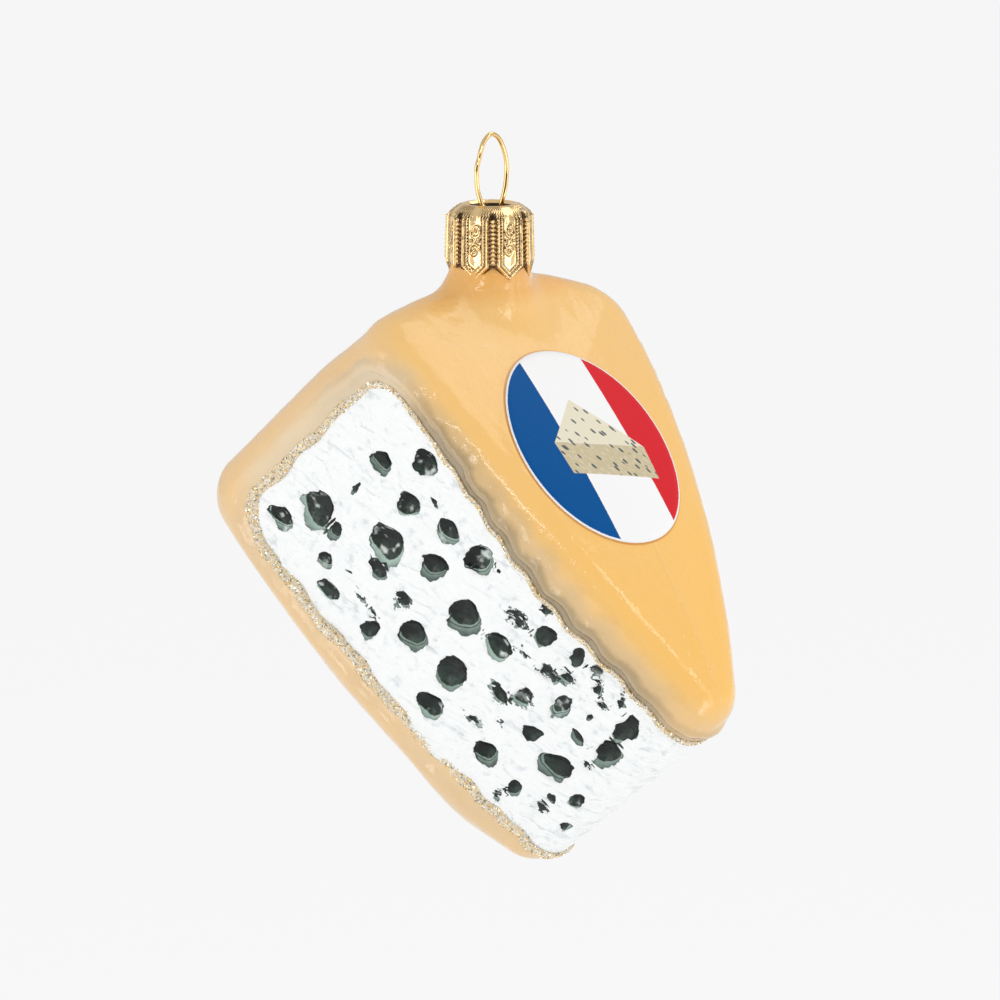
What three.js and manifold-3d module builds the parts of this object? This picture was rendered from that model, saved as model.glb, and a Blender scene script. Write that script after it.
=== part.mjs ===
// Blown-glass ornament shaped like a wedge of blue cheese, with a crown cap and a wire loop.
// Millimetres, +Z up along the neck, origin at the inside top of the hanging loop.
// X runs across the wedge; the plane X = 0 is the mould's symmetry plane.
import * as THREE from "three";
import Module from "manifold-3d";

const wasm = await Module();
wasm.setup();

// ---- Wedge, in its own axes: p across, q from the sharp apex to the back, r through the thickness
const APEX_TO_BACK = 85.5; // unrounded triangle, apex to back face
const BACK_WIDTH = 55.9; // unrounded triangle, corner to corner
const THICKNESS = 49.3; // at mid length, face to face
const END_THINNING = 0.093; // share of thickness lost at both ends
const NOSE_RADIUS = 6.9; // rounding of the upright nose edge
const CORNER_RADIUS = 6.7; // rounding of the upright back edges
const RIM_RADIUS = 5.3; // rounding between each triangular face and the sides
const SIDE_BOW = 2.5; // outward swell of the long sides
const BACK_BOW = 1.5; // outward swell of the back
const FACE_DOME = 0.8; // outward swell of the triangular faces
const WALL = 1.0; // glass wall
// ---- How the wedge hangs: the neck leaves the rounded edge above the sticker face
const LEAN = THREE.MathUtils.degToRad(39.4); // neck axis to wedge length
const APEX = new THREE.Vector3(0, -37.0, -100.6);
// ---- Pressed-in painted panel that runs round both cut sides and the nose
const PANEL_TOP = 17.2; // upper edge, in r
const PANEL_BOTTOM = -18.2; // lower edge, in r
const PANEL_HALF = 68.0; // nose to the panel's back edge, along the outline
const PANEL_CORNER = 5.0; // corner radius of the panel
const PANEL_DEPTH = 1.6;
const STEP_HALF = 0.8; // half the width of the step down into the panel
// ---- Neck
const NECK_RADIUS = 5.3;
const NECK_BORE = 4.3;
const NECK_TOP = -11.6;
const NECK_ROOT = -20.1; // where the root starts to flare
const FLARE = [[0.3, 1.7], [1.0, 0.6], [2.4, -0.3], [2.2, -2.5]]; // [wider than neck, above glass]
// ---- Crown cap
const PETALS = 7;
const CAP_TOP = -10.2;
const CAP_RADIUS = 6.2;
const CAP_TOP_RADIUS = 4.7;
const PETAL_TIP = -19.3; // lowest point of a petal
const PETAL_NOTCH = 1.9; // how far the notches between petals reach up from the tips
const METAL = 0.35;
// ---- Hanging wire
const WIRE_RADIUS = 0.32;
const LOOP_HALF_WIDTH = 3.0;
const LEG_HALF_GAP = 1.9; // half the leg spacing where they pass the cap top
// ---- Round sticker and sparkle border
const STICKER_RADIUS = 15.0;
const STICKER_Q = 57.0; // sticker centre from the apex
const STICKER_THICK = 0.2;
const SKIN_GAP = 0.25; // clearance kept under the sticker and the border
const BORDER_HALF_WIDTH = 1.1;
const BORDER_HEIGHT = 0.9;

const halfAngle = Math.atan(BACK_WIDTH / 2 / APEX_TO_BACK);
const noseQ = NOSE_RADIUS / Math.sin(halfAngle) - NOSE_RADIUS;
const faceCentre = new THREE.Vector2(0, APEX_TO_BACK * 0.62);

// Share of the full thickness at distance q from the apex.
function thinning(q) {
  const t = THREE.MathUtils.clamp((q - noseQ) / (APEX_TO_BACK - noseQ), 0, 1);
  return 1 - END_THINNING * (1 - 4 * t * (1 - t));
}

// Wedge axes to the hanging frame.
function place(p, q, r) {
  return new THREE.Vector3(
    p,
    q * Math.sin(LEAN) - r * Math.cos(LEAN),
    q * Math.cos(LEAN) + r * Math.sin(LEAN),
  ).add(APEX);
}

// Half outline (p >= 0) from the nose to the middle of the back, as a fine polyline.
function halfOutline() {
  const sin = Math.sin(halfAngle);
  const cos = Math.cos(halfAngle);
  const points = [];
  const arc = (cp, cq, radius, from, to) => {
    for (let i = 0; i <= 16; i++) {
      const a = from + ((to - from) * i) / 16;
      points.push([cp + radius * Math.cos(a), cq + radius * Math.sin(a)]);
    }
  };
  arc(0, NOSE_RADIUS / sin, NOSE_RADIUS, -Math.PI / 2, -halfAngle);
  const cornerQ = APEX_TO_BACK - CORNER_RADIUS;
  const cornerP = (cornerQ * sin - CORNER_RADIUS) / cos;
  const side = points.length;
  arc(cornerP, cornerQ, CORNER_RADIUS, -halfAngle, Math.PI / 2);
  const [p0, q0] = points[side - 1];
  const [p1, q1] = points[side];
  const bowed = [];
  for (let i = 1; i < 24; i++) {
    const t = i / 24;
    const swell = SIDE_BOW * Math.sin(Math.PI * t);
    bowed.push([p0 + (p1 - p0) * t + cos * swell, q0 + (q1 - q0) * t - sin * swell]);
  }
  points.splice(side, 0, ...bowed);
  for (let i = 1; i <= 8; i++) {
    const t = i / 8;
    points.push([cornerP * (1 - t), APEX_TO_BACK + BACK_BOW * Math.sin((Math.PI / 2) * t)]);
  }
  return points;
}

const outlineCurve = (() => {
  const half = halfOutline().map(([p, q]) => new THREE.Vector2(p, q));
  const lengths = [0];
  for (let i = 1; i < half.length; i++) {
    lengths.push(lengths[i - 1] + half[i].distanceTo(half[i - 1]));
  }
  return { half, lengths, total: lengths[lengths.length - 1] };
})();

// Point and outward normal at signed distance s along the outline; s = 0 is the nose.
function outline(s) {
  const { half, lengths, total } = outlineCurve;
  const along = (d) => {
    const x = THREE.MathUtils.clamp(d, 0, total);
    let i = 1;
    while (i < lengths.length - 1 && lengths[i] < x) i++;
    const t = (x - lengths[i - 1]) / (lengths[i] - lengths[i - 1]);
    return half[i - 1].clone().lerp(half[i], t);
  };
  const a = Math.abs(s);
  const point = along(a);
  const tangent = along(a + 0.4).sub(along(a - 0.4));
  const normal = new THREE.Vector2(tangent.y, -tangent.x).normalize();
  if (a < 0.05) normal.set(0, -1);
  if (a > total - 0.05) normal.set(0, 1);
  if (s < 0) {
    point.x *= -1;
    normal.x *= -1;
  }
  return { point, normal };
}

const sideLength = (() => {
  const { lengths } = outlineCurve;
  return lengths[16 + 24]; // nose arc, then the bowed side
})();

// Signed distance to the panel's rounded rectangle, negative inside.
function panelDistance(s, r) {
  const mid = (PANEL_TOP + PANEL_BOTTOM) / 2;
  const x = Math.abs(s) - (PANEL_HALF - PANEL_CORNER);
  const y = Math.abs(r - mid) - ((PANEL_TOP - PANEL_BOTTOM) / 2 - PANEL_CORNER);
  const outside = Math.hypot(Math.max(x, 0), Math.max(y, 0));
  return outside + Math.min(Math.max(x, y), 0) - PANEL_CORNER;
}

// Point on the wedge side, lifted outward by "lift", with its thickness scaled by "share".
function sidePoint(s, r, lift = 0, share = 1) {
  const step = THREE.MathUtils.smoothstep(-panelDistance(s, r), -STEP_HALF, STEP_HALF);
  const rim = Math.max(0, Math.abs(r) - (THICKNESS / 2 - RIM_RADIUS));
  const round = RIM_RADIUS - Math.sqrt(Math.max(0, RIM_RADIUS ** 2 - rim ** 2));
  const { point, normal } = outline(s);
  const inset = step * PANEL_DEPTH + round - lift;
  const q = point.y - normal.y * inset;
  return place(point.x - normal.x * inset, q, r * thinning(q) * share);
}

// Distances along the outline at which the wedge is sampled.
function stations() {
  const { total } = outlineCurve;
  const half = [0];
  const fixed = [PANEL_HALF - STEP_HALF, PANEL_HALF + STEP_HALF];
  for (let s = 1.8; s < total - 1; s += s < 10 ? 1.8 : s > sideLength ? 2.2 : 4.4) {
    if (fixed.every((f) => Math.abs(f - s) > 0.9)) half.push(s);
  }
  half.push(...fixed);
  half.sort((a, b) => a - b);
  return [...half, total, ...half.slice(1).reverse().map((s) => -s)];
}

// Closed mesh from rings of equal length, capped by a point at each end.
function closedRings(rings, firstPole, lastPole) {
  const n = rings[0].length;
  const vertices = [firstPole, ...rings.flat(), lastPole];
  const last = vertices.length - 1;
  const index = [];
  for (let i = 0; i < n; i++) {
    const j = (i + 1) % n;
    index.push(0, 1 + i, 1 + j);
    for (let k = 0; k < rings.length - 1; k++) {
      const a = 1 + k * n;
      const b = a + n;
      index.push(a + i, b + i, b + j, a + i, b + j, a + j);
    }
    const e = 1 + (rings.length - 1) * n;
    index.push(e + i, last, e + j);
  }
  return { vertices, index };
}

function toManifold({ vertices, index }) {
  return new wasm.Manifold(
    new wasm.Mesh({
      numProp: 3,
      vertProperties: Float32Array.from(vertices.flatMap((v) => [v.x, v.y, v.z])),
      triVerts: Uint32Array.from(index),
    }),
  );
}

function fromManifold(solid) {
  const mesh = solid.getMesh();
  const geometry = new THREE.BufferGeometry();
  geometry.setAttribute("position", new THREE.Float32BufferAttribute(mesh.vertProperties, 3));
  geometry.setIndex(new THREE.Uint32BufferAttribute(mesh.triVerts, 1));
  return geometry;
}

function fromRings({ vertices, index }) {
  const geometry = new THREE.BufferGeometry();
  const flat = vertices.flatMap((v) => [v.x, v.y, v.z]);
  geometry.setAttribute("position", new THREE.Float32BufferAttribute(flat, 3));
  geometry.setIndex(index);
  return geometry;
}

// Height of a triangular face above the mid plane at (p, q), for the glass surface.
const rimLoop = stations().map((s) => {
  const { point, normal } = outline(s);
  return point.clone().addScaledVector(normal, -RIM_RADIUS);
});
function faceHeight(p, q) {
  let k = 0;
  for (let i = 0; i < rimLoop.length; i++) {
    const a = rimLoop[i];
    const b = rimLoop[(i + 1) % rimLoop.length];
    const n = new THREE.Vector2(b.y - a.y, a.x - b.x);
    const reach = n.dot(a.clone().sub(faceCentre));
    k = Math.max(k, n.dot(new THREE.Vector2(p, q).sub(faceCentre)) / reach);
  }
  return (THICKNESS / 2) * thinning(q) + FACE_DOME * (1 - k * k);
}

// Whole wedge shrunk inward by "inset", as a closed solid.
function wedge(inset, levels) {
  const ring = (side, reach) =>
    rimLoop.map((edge) => {
      const at = faceCentre.clone().lerp(edge, reach);
      return place(at.x, at.y, side * (faceHeight(at.x, at.y) - inset));
    });
  const share = 1 - inset / (THICKNESS / 2);
  const rings = [ring(1, 0.4), ring(1, 0.75)];
  for (const r of levels) rings.push(stations().map((s) => sidePoint(s, r, -inset, share)));
  rings.push(ring(-1, 0.75), ring(-1, 0.4));
  const pole = (side) =>
    place(0, faceCentre.y, side * (faceHeight(0, faceCentre.y) - inset));
  return toManifold(closedRings(rings, pole(1), pole(-1)));
}

// Height of the wedge's rounded upper edge at depth y, from its two faces' planes.
function ridgeHeight(y) {
  const depth = y - APEX.y;
  const face = (THICKNESS / 2) * (1 - END_THINNING) + 0.1;
  const sticker = depth / Math.tan(LEAN) + face / Math.sin(LEAN);
  const back = (APEX_TO_BACK + BACK_BOW) / Math.cos(LEAN) - depth * Math.tan(LEAN);
  const blend = 2 * RIM_RADIUS;
  const h = Math.max(blend - Math.abs(sticker - back), 0) / blend;
  return APEX.z + Math.min(sticker, back) - (h * h * blend) / 4;
}

// Neck with a root that flares onto the wedge's rounded edge all round.
function neck() {
  const segments = 28;
  const ring = (radius, height) => Array.from({ length: segments }, (_, i) => {
    const a = (2 * Math.PI * i) / segments;
    const [x, y] = [radius * Math.cos(a), radius * Math.sin(a)];
    return new THREE.Vector3(x, y, height(y));
  });
  const rings = [
    ring(NECK_RADIUS - 0.4, () => NECK_TOP),
    ring(NECK_RADIUS, () => NECK_TOP - 0.4),
    ring(NECK_RADIUS, () => NECK_ROOT),
    ...FLARE.map(([wider, above]) => ring(NECK_RADIUS + wider, (y) => ridgeHeight(y) + above)),
  ];
  return toManifold(closedRings(
    rings, new THREE.Vector3(0, 0, NECK_TOP), new THREE.Vector3(0, 0, NECK_ROOT - 8)));
}

// Solid of revolution about the neck axis from [radius, z] pairs, pole to pole, top first.
function turned(profile, segments) {
  const rings = profile.slice(1, -1).map(([radius, z]) =>
    Array.from({ length: segments }, (_, i) => {
      const a = (2 * Math.PI * i) / segments;
      return new THREE.Vector3(radius * Math.cos(a), radius * Math.sin(a), z);
    }),
  );
  const pole = ([, z]) => new THREE.Vector3(0, 0, z);
  return toManifold(closedRings(rings, pole(profile[0]), pole(profile[profile.length - 1])));
}

// Heights, in r, at which the rounded rim of a face is sampled, from its side to the face.
function rimLevels(side) {
  return [0, 0.38, 0.71, 0.92, 1].map((k) =>
    side * (THICKNESS / 2 - RIM_RADIUS + RIM_RADIUS * k));
}

function outerLevels() {
  return [
    ...rimLevels(1).reverse(),
    PANEL_TOP + STEP_HALF, PANEL_TOP - STEP_HALF, 13, 7, -1.3, -9.5, -15.5,
    PANEL_BOTTOM + STEP_HALF, ...rimLevels(-1).slice(1),
  ];
}

function glassBody() {
  const [top, bottom] = [rimLevels(1), rimLevels(-1)];
  const innerLevels = [
    top[4], top[2], top[0], PANEL_TOP - STEP_HALF, 7, -9.5,
    PANEL_BOTTOM + STEP_HALF, bottom[2], bottom[4],
  ];
  const outer = wedge(0, outerLevels()).add(neck());
  const bore = turned([[0, NECK_TOP + 2], [NECK_BORE, NECK_TOP + 2], [NECK_BORE, -29], [0, -29]], 28);
  return fromManifold(outer.subtract(wedge(WALL, innerLevels).add(bore)));
}

// Pressed crown: a cup whose rim is cut into pointed petals, dished on top for the wire.
function crownCap() {
  const segments = PETALS * 10;
  const petal = (i) => Math.abs(((i % 10) - 5) / 5); // 0 at a petal's middle, 1 at a notch
  const row = (radius, z, cut, groove) =>
    Array.from({ length: segments }, (_, i) => {
      const a = (2 * Math.PI * (i - 5)) / segments - Math.PI / 2;
      const k = petal(i);
      const rad = radius - groove * k ** 4;
      return new THREE.Vector3(rad * Math.cos(a), rad * Math.sin(a), z + cut * k ** 1.5);
    });
  const rings = [
    row(3.3, CAP_TOP - 0.35, 0, 0),
    row(3.9, CAP_TOP, 0, 0),
    row(CAP_TOP_RADIUS, CAP_TOP - 0.1, 0, 0.05),
    row(CAP_RADIUS - 0.25, CAP_TOP - 1.3, 0, 0.3),
    row(CAP_RADIUS, CAP_TOP - 2.0, 0, 0.4),
    row(CAP_RADIUS, PETAL_TIP + 3.2, 0, 0.4),
    row(NECK_RADIUS + 0.3 + METAL, PETAL_TIP, PETAL_NOTCH, 0.05),
    row(NECK_RADIUS + 0.3, PETAL_TIP, PETAL_NOTCH, 0),
    row(CAP_RADIUS - METAL, PETAL_TIP + 3.2, 0, 0.25),
    row(CAP_RADIUS - METAL, CAP_TOP - 2.0, 0, 0.25),
    row(CAP_TOP_RADIUS - 0.1, CAP_TOP - 0.75, 0, 0),
    row(3.3, CAP_TOP - 0.95, 0, 0),
  ];
  const cup = toManifold(closedRings(
    rings,
    new THREE.Vector3(0, 0, CAP_TOP - 0.45),
    new THREE.Vector3(0, 0, CAP_TOP - 0.95),
  ));
  const hole = (side) => toManifold(closedRings(
    [CAP_TOP + 1, CAP_TOP - 2].map((z) => Array.from({ length: 12 }, (_, i) => {
      const a = (2 * Math.PI * i) / 12;
      return new THREE.Vector3(
        side * (LEG_HALF_GAP + 0.1) + 0.75 * Math.cos(a), 0.62 * Math.sin(a), z);
    })),
    new THREE.Vector3(side * (LEG_HALF_GAP + 0.1), 0, CAP_TOP + 1),
    new THREE.Vector3(side * (LEG_HALF_GAP + 0.1), 0, CAP_TOP - 2),
  ));
  return fromManifold(cup.subtract(hole(1)).subtract(hole(-1)));
}

// Spring wire: an oval loop above the cap, legs splayed against the inside of the neck.
function hangerWire() {
  const half = [
    [0, WIRE_RADIUS], [1.7, -0.35], [LOOP_HALF_WIDTH - 0.25, -2.4],
    [LOOP_HALF_WIDTH, -4.6], [LOOP_HALF_WIDTH - 0.45, -7.4],
    [LEG_HALF_GAP, CAP_TOP + 0.6], [LEG_HALF_GAP + 0.1, CAP_TOP - 0.9],
    [LEG_HALF_GAP + 0.9, -14.5], [3.55, -19.5],
  ].map(([x, z]) => new THREE.Vector3(x, 0, z));
  const mirrored = half.slice(1).map((v) => new THREE.Vector3(-v.x, 0, v.z));
  const path = new THREE.CatmullRomCurve3([...mirrored.reverse(), ...half]);
  const section = new THREE.Shape();
  section.absarc(0, 0, WIRE_RADIUS, 0, Math.PI * 2);
  return new THREE.ExtrudeGeometry(section, {
    steps: 64, curveSegments: 4, bevelEnabled: false, extrudePath: path,
  });
}

// Thin disc that follows the domed face, clear of the glass by the skin gap.
function sticker() {
  const shares = [0.35, 0.7, 1];
  const at = (share, i, lift) => {
    const a = (2 * Math.PI * i) / 40;
    const p = STICKER_RADIUS * share * Math.cos(a);
    const q = STICKER_Q + STICKER_RADIUS * share * Math.sin(a);
    return place(p, q, faceHeight(p, q) + lift);
  };
  const ring = (share, lift) => Array.from({ length: 40 }, (_, i) => at(share, i, lift));
  const top = SKIN_GAP + STICKER_THICK;
  const rings = [
    ...shares.map((k) => ring(k, top)),
    ...shares.slice().reverse().map((k) => ring(k, SKIN_GAP)),
  ];
  return fromRings(closedRings(rings, at(0, 0, top), at(0, 0, SKIN_GAP)));
}

// Raised band of sparkle that runs once round the panel's edge.
function sparkleBorder() {
  const mid = (PANEL_TOP + PANEL_BOTTOM) / 2;
  const halfR = (PANEL_TOP - PANEL_BOTTOM) / 2;
  const corner = PANEL_CORNER;
  const path = [];
  const straightS = PANEL_HALF - corner;
  const straightR = halfR - corner;
  for (let i = 0; i < 34; i++) {
    path.push([-straightS + (2 * straightS * i) / 34, mid + halfR, 0, 1]);
  }
  const turn = (cs, cr, from) => {
    for (let i = 0; i < 5; i++) {
      const a = from - (Math.PI / 2) * (i / 5);
      const [x, y] = [Math.cos(a), Math.sin(a)];
      path.push([cs + corner * x, cr + corner * y, x, y]);
    }
  };
  turn(straightS, mid + straightR, Math.PI / 2);
  for (let i = 0; i < 6; i++) path.push([PANEL_HALF, mid + straightR * (1 - i / 3), 1, 0]);
  turn(straightS, mid - straightR, 0);
  for (let i = 0; i < 34; i++) {
    path.push([straightS - (2 * straightS * i) / 34, mid - halfR, 0, -1]);
  }
  turn(-straightS, mid - straightR, -Math.PI / 2);
  for (let i = 0; i < 6; i++) path.push([-PANEL_HALF, mid - straightR * (1 - i / 3), -1, 0]);
  turn(-straightS, mid + straightR, -Math.PI);
  const across = [[-1, -1], [-1, 0.3], [-0.6, 0.8], [0, 1], [0.6, 0.8], [1, 0.3], [1, -1], [0, -1]];
  const rows = path.map(([s, r, ns, nr]) =>
    across.map(([w, h]) => sidePoint(
      s + ns * w * BORDER_HALF_WIDTH, r + nr * w * BORDER_HALF_WIDTH, h * BORDER_HEIGHT)),
  );
  const n = across.length;
  const index = [];
  rows.forEach((_, i) => {
    const a = i * n;
    const b = ((i + 1) % rows.length) * n;
    for (let k = 0; k < n; k++) {
      const m = (k + 1) % n;
      index.push(a + k, b + k, b + m, a + k, b + m, a + m);
    }
  });
  const band = toManifold({ vertices: rows.flat(), index });
  return fromManifold(band.subtract(wedge(-SKIN_GAP, outerLevels())));
}

function named(name, geometry, color) {
  const mesh = new THREE.Mesh(geometry, new THREE.MeshStandardMaterial({ color }));
  mesh.name = name;
  return mesh;
}

const part = new THREE.Group();
part.name = "cheese_wedge_ornament";
part.add(
  named("glass_body", glassBody(), "#f0c58c"),
  named("crown_cap", crownCap(), "#c9a24d"),
  named("hanger_wire", hangerWire(), "#cfa856"),
  named("round_sticker", sticker(), "#ffffff"),
  named("sparkle_border", sparkleBorder(), "#d8c7a6"),
);
export default part;
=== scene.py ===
"""Dresses a blown-glass ornament, shaped like a wedge of blue cheese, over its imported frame.

Lengths are millimetres until a mesh is written, which is in metres, in the frame's axes: +Z up
along the neck, X across the wedge, origin at the inside top of the hanging loop. The wedge has
axes of its own as well: p across it, q from the sharp apex to the back, r through its thickness
towards the sticker face; s is the distance along its outline, zero at the nose.
"""

import logging
import math
from dataclasses import dataclass, field
from enum import Enum

import bpy
import numpy as np
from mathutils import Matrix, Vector, noise


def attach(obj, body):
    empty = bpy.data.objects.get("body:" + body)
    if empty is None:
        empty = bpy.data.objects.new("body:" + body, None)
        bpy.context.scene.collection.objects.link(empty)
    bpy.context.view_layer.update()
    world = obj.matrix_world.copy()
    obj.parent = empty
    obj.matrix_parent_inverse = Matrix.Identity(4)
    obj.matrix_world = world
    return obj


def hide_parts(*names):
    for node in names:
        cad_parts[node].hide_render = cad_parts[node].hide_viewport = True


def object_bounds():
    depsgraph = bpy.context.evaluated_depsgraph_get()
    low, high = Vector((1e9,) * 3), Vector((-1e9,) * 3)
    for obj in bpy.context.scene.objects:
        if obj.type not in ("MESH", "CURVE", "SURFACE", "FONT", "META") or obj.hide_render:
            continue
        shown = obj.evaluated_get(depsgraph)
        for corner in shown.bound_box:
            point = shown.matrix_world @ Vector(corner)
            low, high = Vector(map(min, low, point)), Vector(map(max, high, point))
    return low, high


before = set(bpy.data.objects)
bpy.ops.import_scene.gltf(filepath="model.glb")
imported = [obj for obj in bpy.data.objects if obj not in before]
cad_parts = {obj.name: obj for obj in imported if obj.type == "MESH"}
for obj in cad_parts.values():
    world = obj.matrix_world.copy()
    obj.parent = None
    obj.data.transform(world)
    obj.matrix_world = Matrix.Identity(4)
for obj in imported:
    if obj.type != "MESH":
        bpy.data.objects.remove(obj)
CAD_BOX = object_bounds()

log = logging.getLogger("ornament")

MM = 0.001
ROOT = "root"
Colour = tuple[float, float, float]


# ----------------------------------------------------------------------------------- helpers


def smoothstep(low: float, high: float, x: np.ndarray) -> np.ndarray:
    """Hermite step from 0 at low to 1 at high."""
    t = np.clip((x - low) / (high - low), 0.0, 1.0)
    return t * t * (3.0 - 2.0 * t)


def linear(red: int, green: int, blue: int) -> Colour:
    """Display colour, 0 to 255 a channel, as scene-linear values."""

    def channel(value: int) -> float:
        """One channel of the display curve undone."""
        v = value / 255.0
        return v / 12.92 if v <= 0.04045 else ((v + 0.055) / 1.055) ** 2.4

    return channel(red), channel(green), channel(blue)


def relief(points: np.ndarray, size: float, octaves: float, seed: float) -> np.ndarray:
    """Fractal noise, about -1 to 1, at points in millimetres.

    Args:
        points: N by 3 positions.
        size: size of the largest lumps, in millimetres.
        octaves: layers of detail.
        seed: offset that gives an independent pattern.

    Returns:
        One value a point.
    """
    shift = Vector((seed, 1.7 * seed, 2.3 * seed))
    return np.array(
        [noise.fractal(Vector(p) / size + shift, 1.0, 2.0, octaves) for p in points]
    )


def new_mesh(name: str, points: np.ndarray, faces: list | np.ndarray) -> bpy.types.Object:
    """Object at the origin from millimetre points.

    Args:
        name: the piece's name.
        points: N by 3 positions in millimetres.
        faces: vertex indices of each face, outward by the right-hand rule.

    Returns:
        The linked, smooth-shaded mesh object.
    """
    mesh = bpy.data.meshes.new(name)
    mesh.from_pydata((np.asarray(points) * MM).tolist(), [], [list(map(int, f)) for f in faces])
    mesh.validate()
    mesh.shade_smooth()
    piece = bpy.data.objects.new(name, mesh)
    bpy.context.scene.collection.objects.link(piece)
    return piece


def store(piece: bpy.types.Object, name: str, values: np.ndarray) -> None:
    """Stores one value or one 3-vector for each vertex under an attribute name."""
    values = np.asarray(values, np.float32)
    if values.ndim == 1:
        piece.data.attributes.new(name, "FLOAT", "POINT").data.foreach_set("value", values)
    else:
        layer = piece.data.attributes.new(name, "FLOAT_VECTOR", "POINT")
        layer.data.foreach_set("vector", values.ravel())


def finish_piece(piece: bpy.types.Object, material: bpy.types.Material | None, slot: str,
                 *nodes: str) -> bpy.types.Object:
    """Gives a piece its material and body, and hides the CAD nodes that it stands for."""
    if material is not None:
        piece.data.materials.clear()
        piece.data.materials.append(material)
    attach(piece, ROOT)
    if nodes:
        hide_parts(*nodes)
    log.info("%s: %d vertices, %d faces", piece.name, len(piece.data.vertices),
             len(piece.data.polygons))
    return piece


def ring_faces(rings: int, sides: int, closed: bool = False) -> list[tuple[int, ...]]:
    """Quads between consecutive rings of equal size; closed joins the last to the first."""
    faces = []
    for i in range(rings if closed else rings - 1):
        a, b = i * sides, ((i + 1) % rings) * sides
        for k in range(sides):
            m = (k + 1) % sides
            faces.append((a + k, b + k, b + m, a + m))
    return faces


def sweep(path: np.ndarray, radius: float, sides: int) -> tuple[np.ndarray, list]:
    """Round bar along an open path in the plane Y = constant or near it, with domed ends.

    Args:
        path: N by 3 centre points, in order.
        radius: bar radius.
        sides: corners of the section.

    Returns:
        Points and faces.
    """
    tangent = np.gradient(path, axis=0)
    tangent /= np.linalg.norm(tangent, axis=1, keepdims=True)
    side = np.array([0.0, 1.0, 0.0]) - tangent * tangent[:, 1:2]
    side /= np.linalg.norm(side, axis=1, keepdims=True)
    up = np.cross(tangent, side)
    angles = np.linspace(0, 2 * math.pi, sides, endpoint=False)
    dome = [(-0.97, 0.25), (-0.7, 0.71), (-0.3, 0.95)]
    rings = [(path[0] + tangent[0] * radius * (d + 0.3), side[0], up[0], radius * k)
             for d, k in dome]
    rings += [(path[i], side[i], up[i], radius) for i in range(len(path))]
    rings += [(path[-1] - tangent[-1] * radius * (d + 0.3), side[-1], up[-1], radius * k)
              for d, k in reversed(dome)]
    points = [centre + size * (np.cos(a) * v - np.sin(a) * u)
              for centre, u, v, size in rings for a in angles]
    faces = ring_faces(len(rings), sides)
    last = (len(rings) - 1) * sides
    faces.append(tuple(range(sides)))
    faces.append(tuple(last + k for k in reversed(range(sides))))
    return np.array(points), faces


def smooth_path(control: np.ndarray, steps: int) -> np.ndarray:
    """Uniform Catmull-Rom curve through control points, with steps a span."""
    padded = np.vstack([2 * control[0] - control[1], control, 2 * control[-1] - control[-2]])
    out = []
    for i in range(1, len(padded) - 2):
        a, b, c, d = padded[i - 1 : i + 3]
        for t in np.linspace(0, 1, steps, endpoint=False):
            out.append(0.5 * (2 * b + (c - a) * t + (2 * a - 5 * b + 4 * c - d) * t**2
                              + (3 * b - a - 3 * c + d) * t**3))
    out.append(control[-1])
    return np.array(out)


def surface_net(values: np.ndarray, origin: np.ndarray, step: float
                ) -> tuple[np.ndarray, np.ndarray]:
    """Quad surface at the zero level of a field sampled on a grid, negative inside.

    Args:
        values: field at the grid's corners.
        origin: position of the first corner.
        step: grid spacing.

    Returns:
        Points and outward quads.
    """
    cells = tuple(n - 1 for n in values.shape)
    total = np.zeros(cells + (3,), np.float32)
    count = np.zeros(cells, np.float32)
    crossings = []
    for axis in range(3):
        turn = (axis, (axis + 1) % 3, (axis + 2) % 3)
        v = values.transpose(turn)
        low, high = v[:-1], v[1:]
        cross = (low < 0) != (high < 0)
        along = np.where(cross, low / np.where(cross, low - high, 1.0), 0.0)
        crossings.append((cross, low < 0))
        sums = total.transpose(turn + (3,))
        counts = count.transpose(turn)
        for du in (0, 1):
            for dv in (0, 1):
                window = (slice(None), slice(du, du + counts.shape[1]),
                          slice(dv, dv + counts.shape[2]))
                hit = cross[window]
                sums[..., turn[0]] += np.where(hit, along[window], 0.0)
                sums[..., turn[1]] += hit * du
                sums[..., turn[2]] += hit * dv
                counts += hit
    used = count > 0
    index = np.full(cells, -1, np.int64)
    index[used] = np.arange(used.sum())
    corners = np.argwhere(used)
    points = origin + step * (corners + total[used] / count[used][:, None])
    quads = []
    for axis, (cross, rising) in enumerate(crossings):
        turn = (axis, (axis + 1) % 3, (axis + 2) % 3)
        cell = index.transpose(turn)
        hit = np.argwhere(cross[:, 1:-1, 1:-1])
        up = rising[:, 1:-1, 1:-1][tuple(hit.T)]
        i, j, k = hit.T
        quad = np.stack([cell[i, j, k], cell[i, j + 1, k], cell[i, j + 1, k + 1],
                         cell[i, j, k + 1]], axis=1)
        quad[~up] = quad[~up][:, ::-1]
        quads.append(quad)
    return points, np.concatenate(quads)


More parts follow.
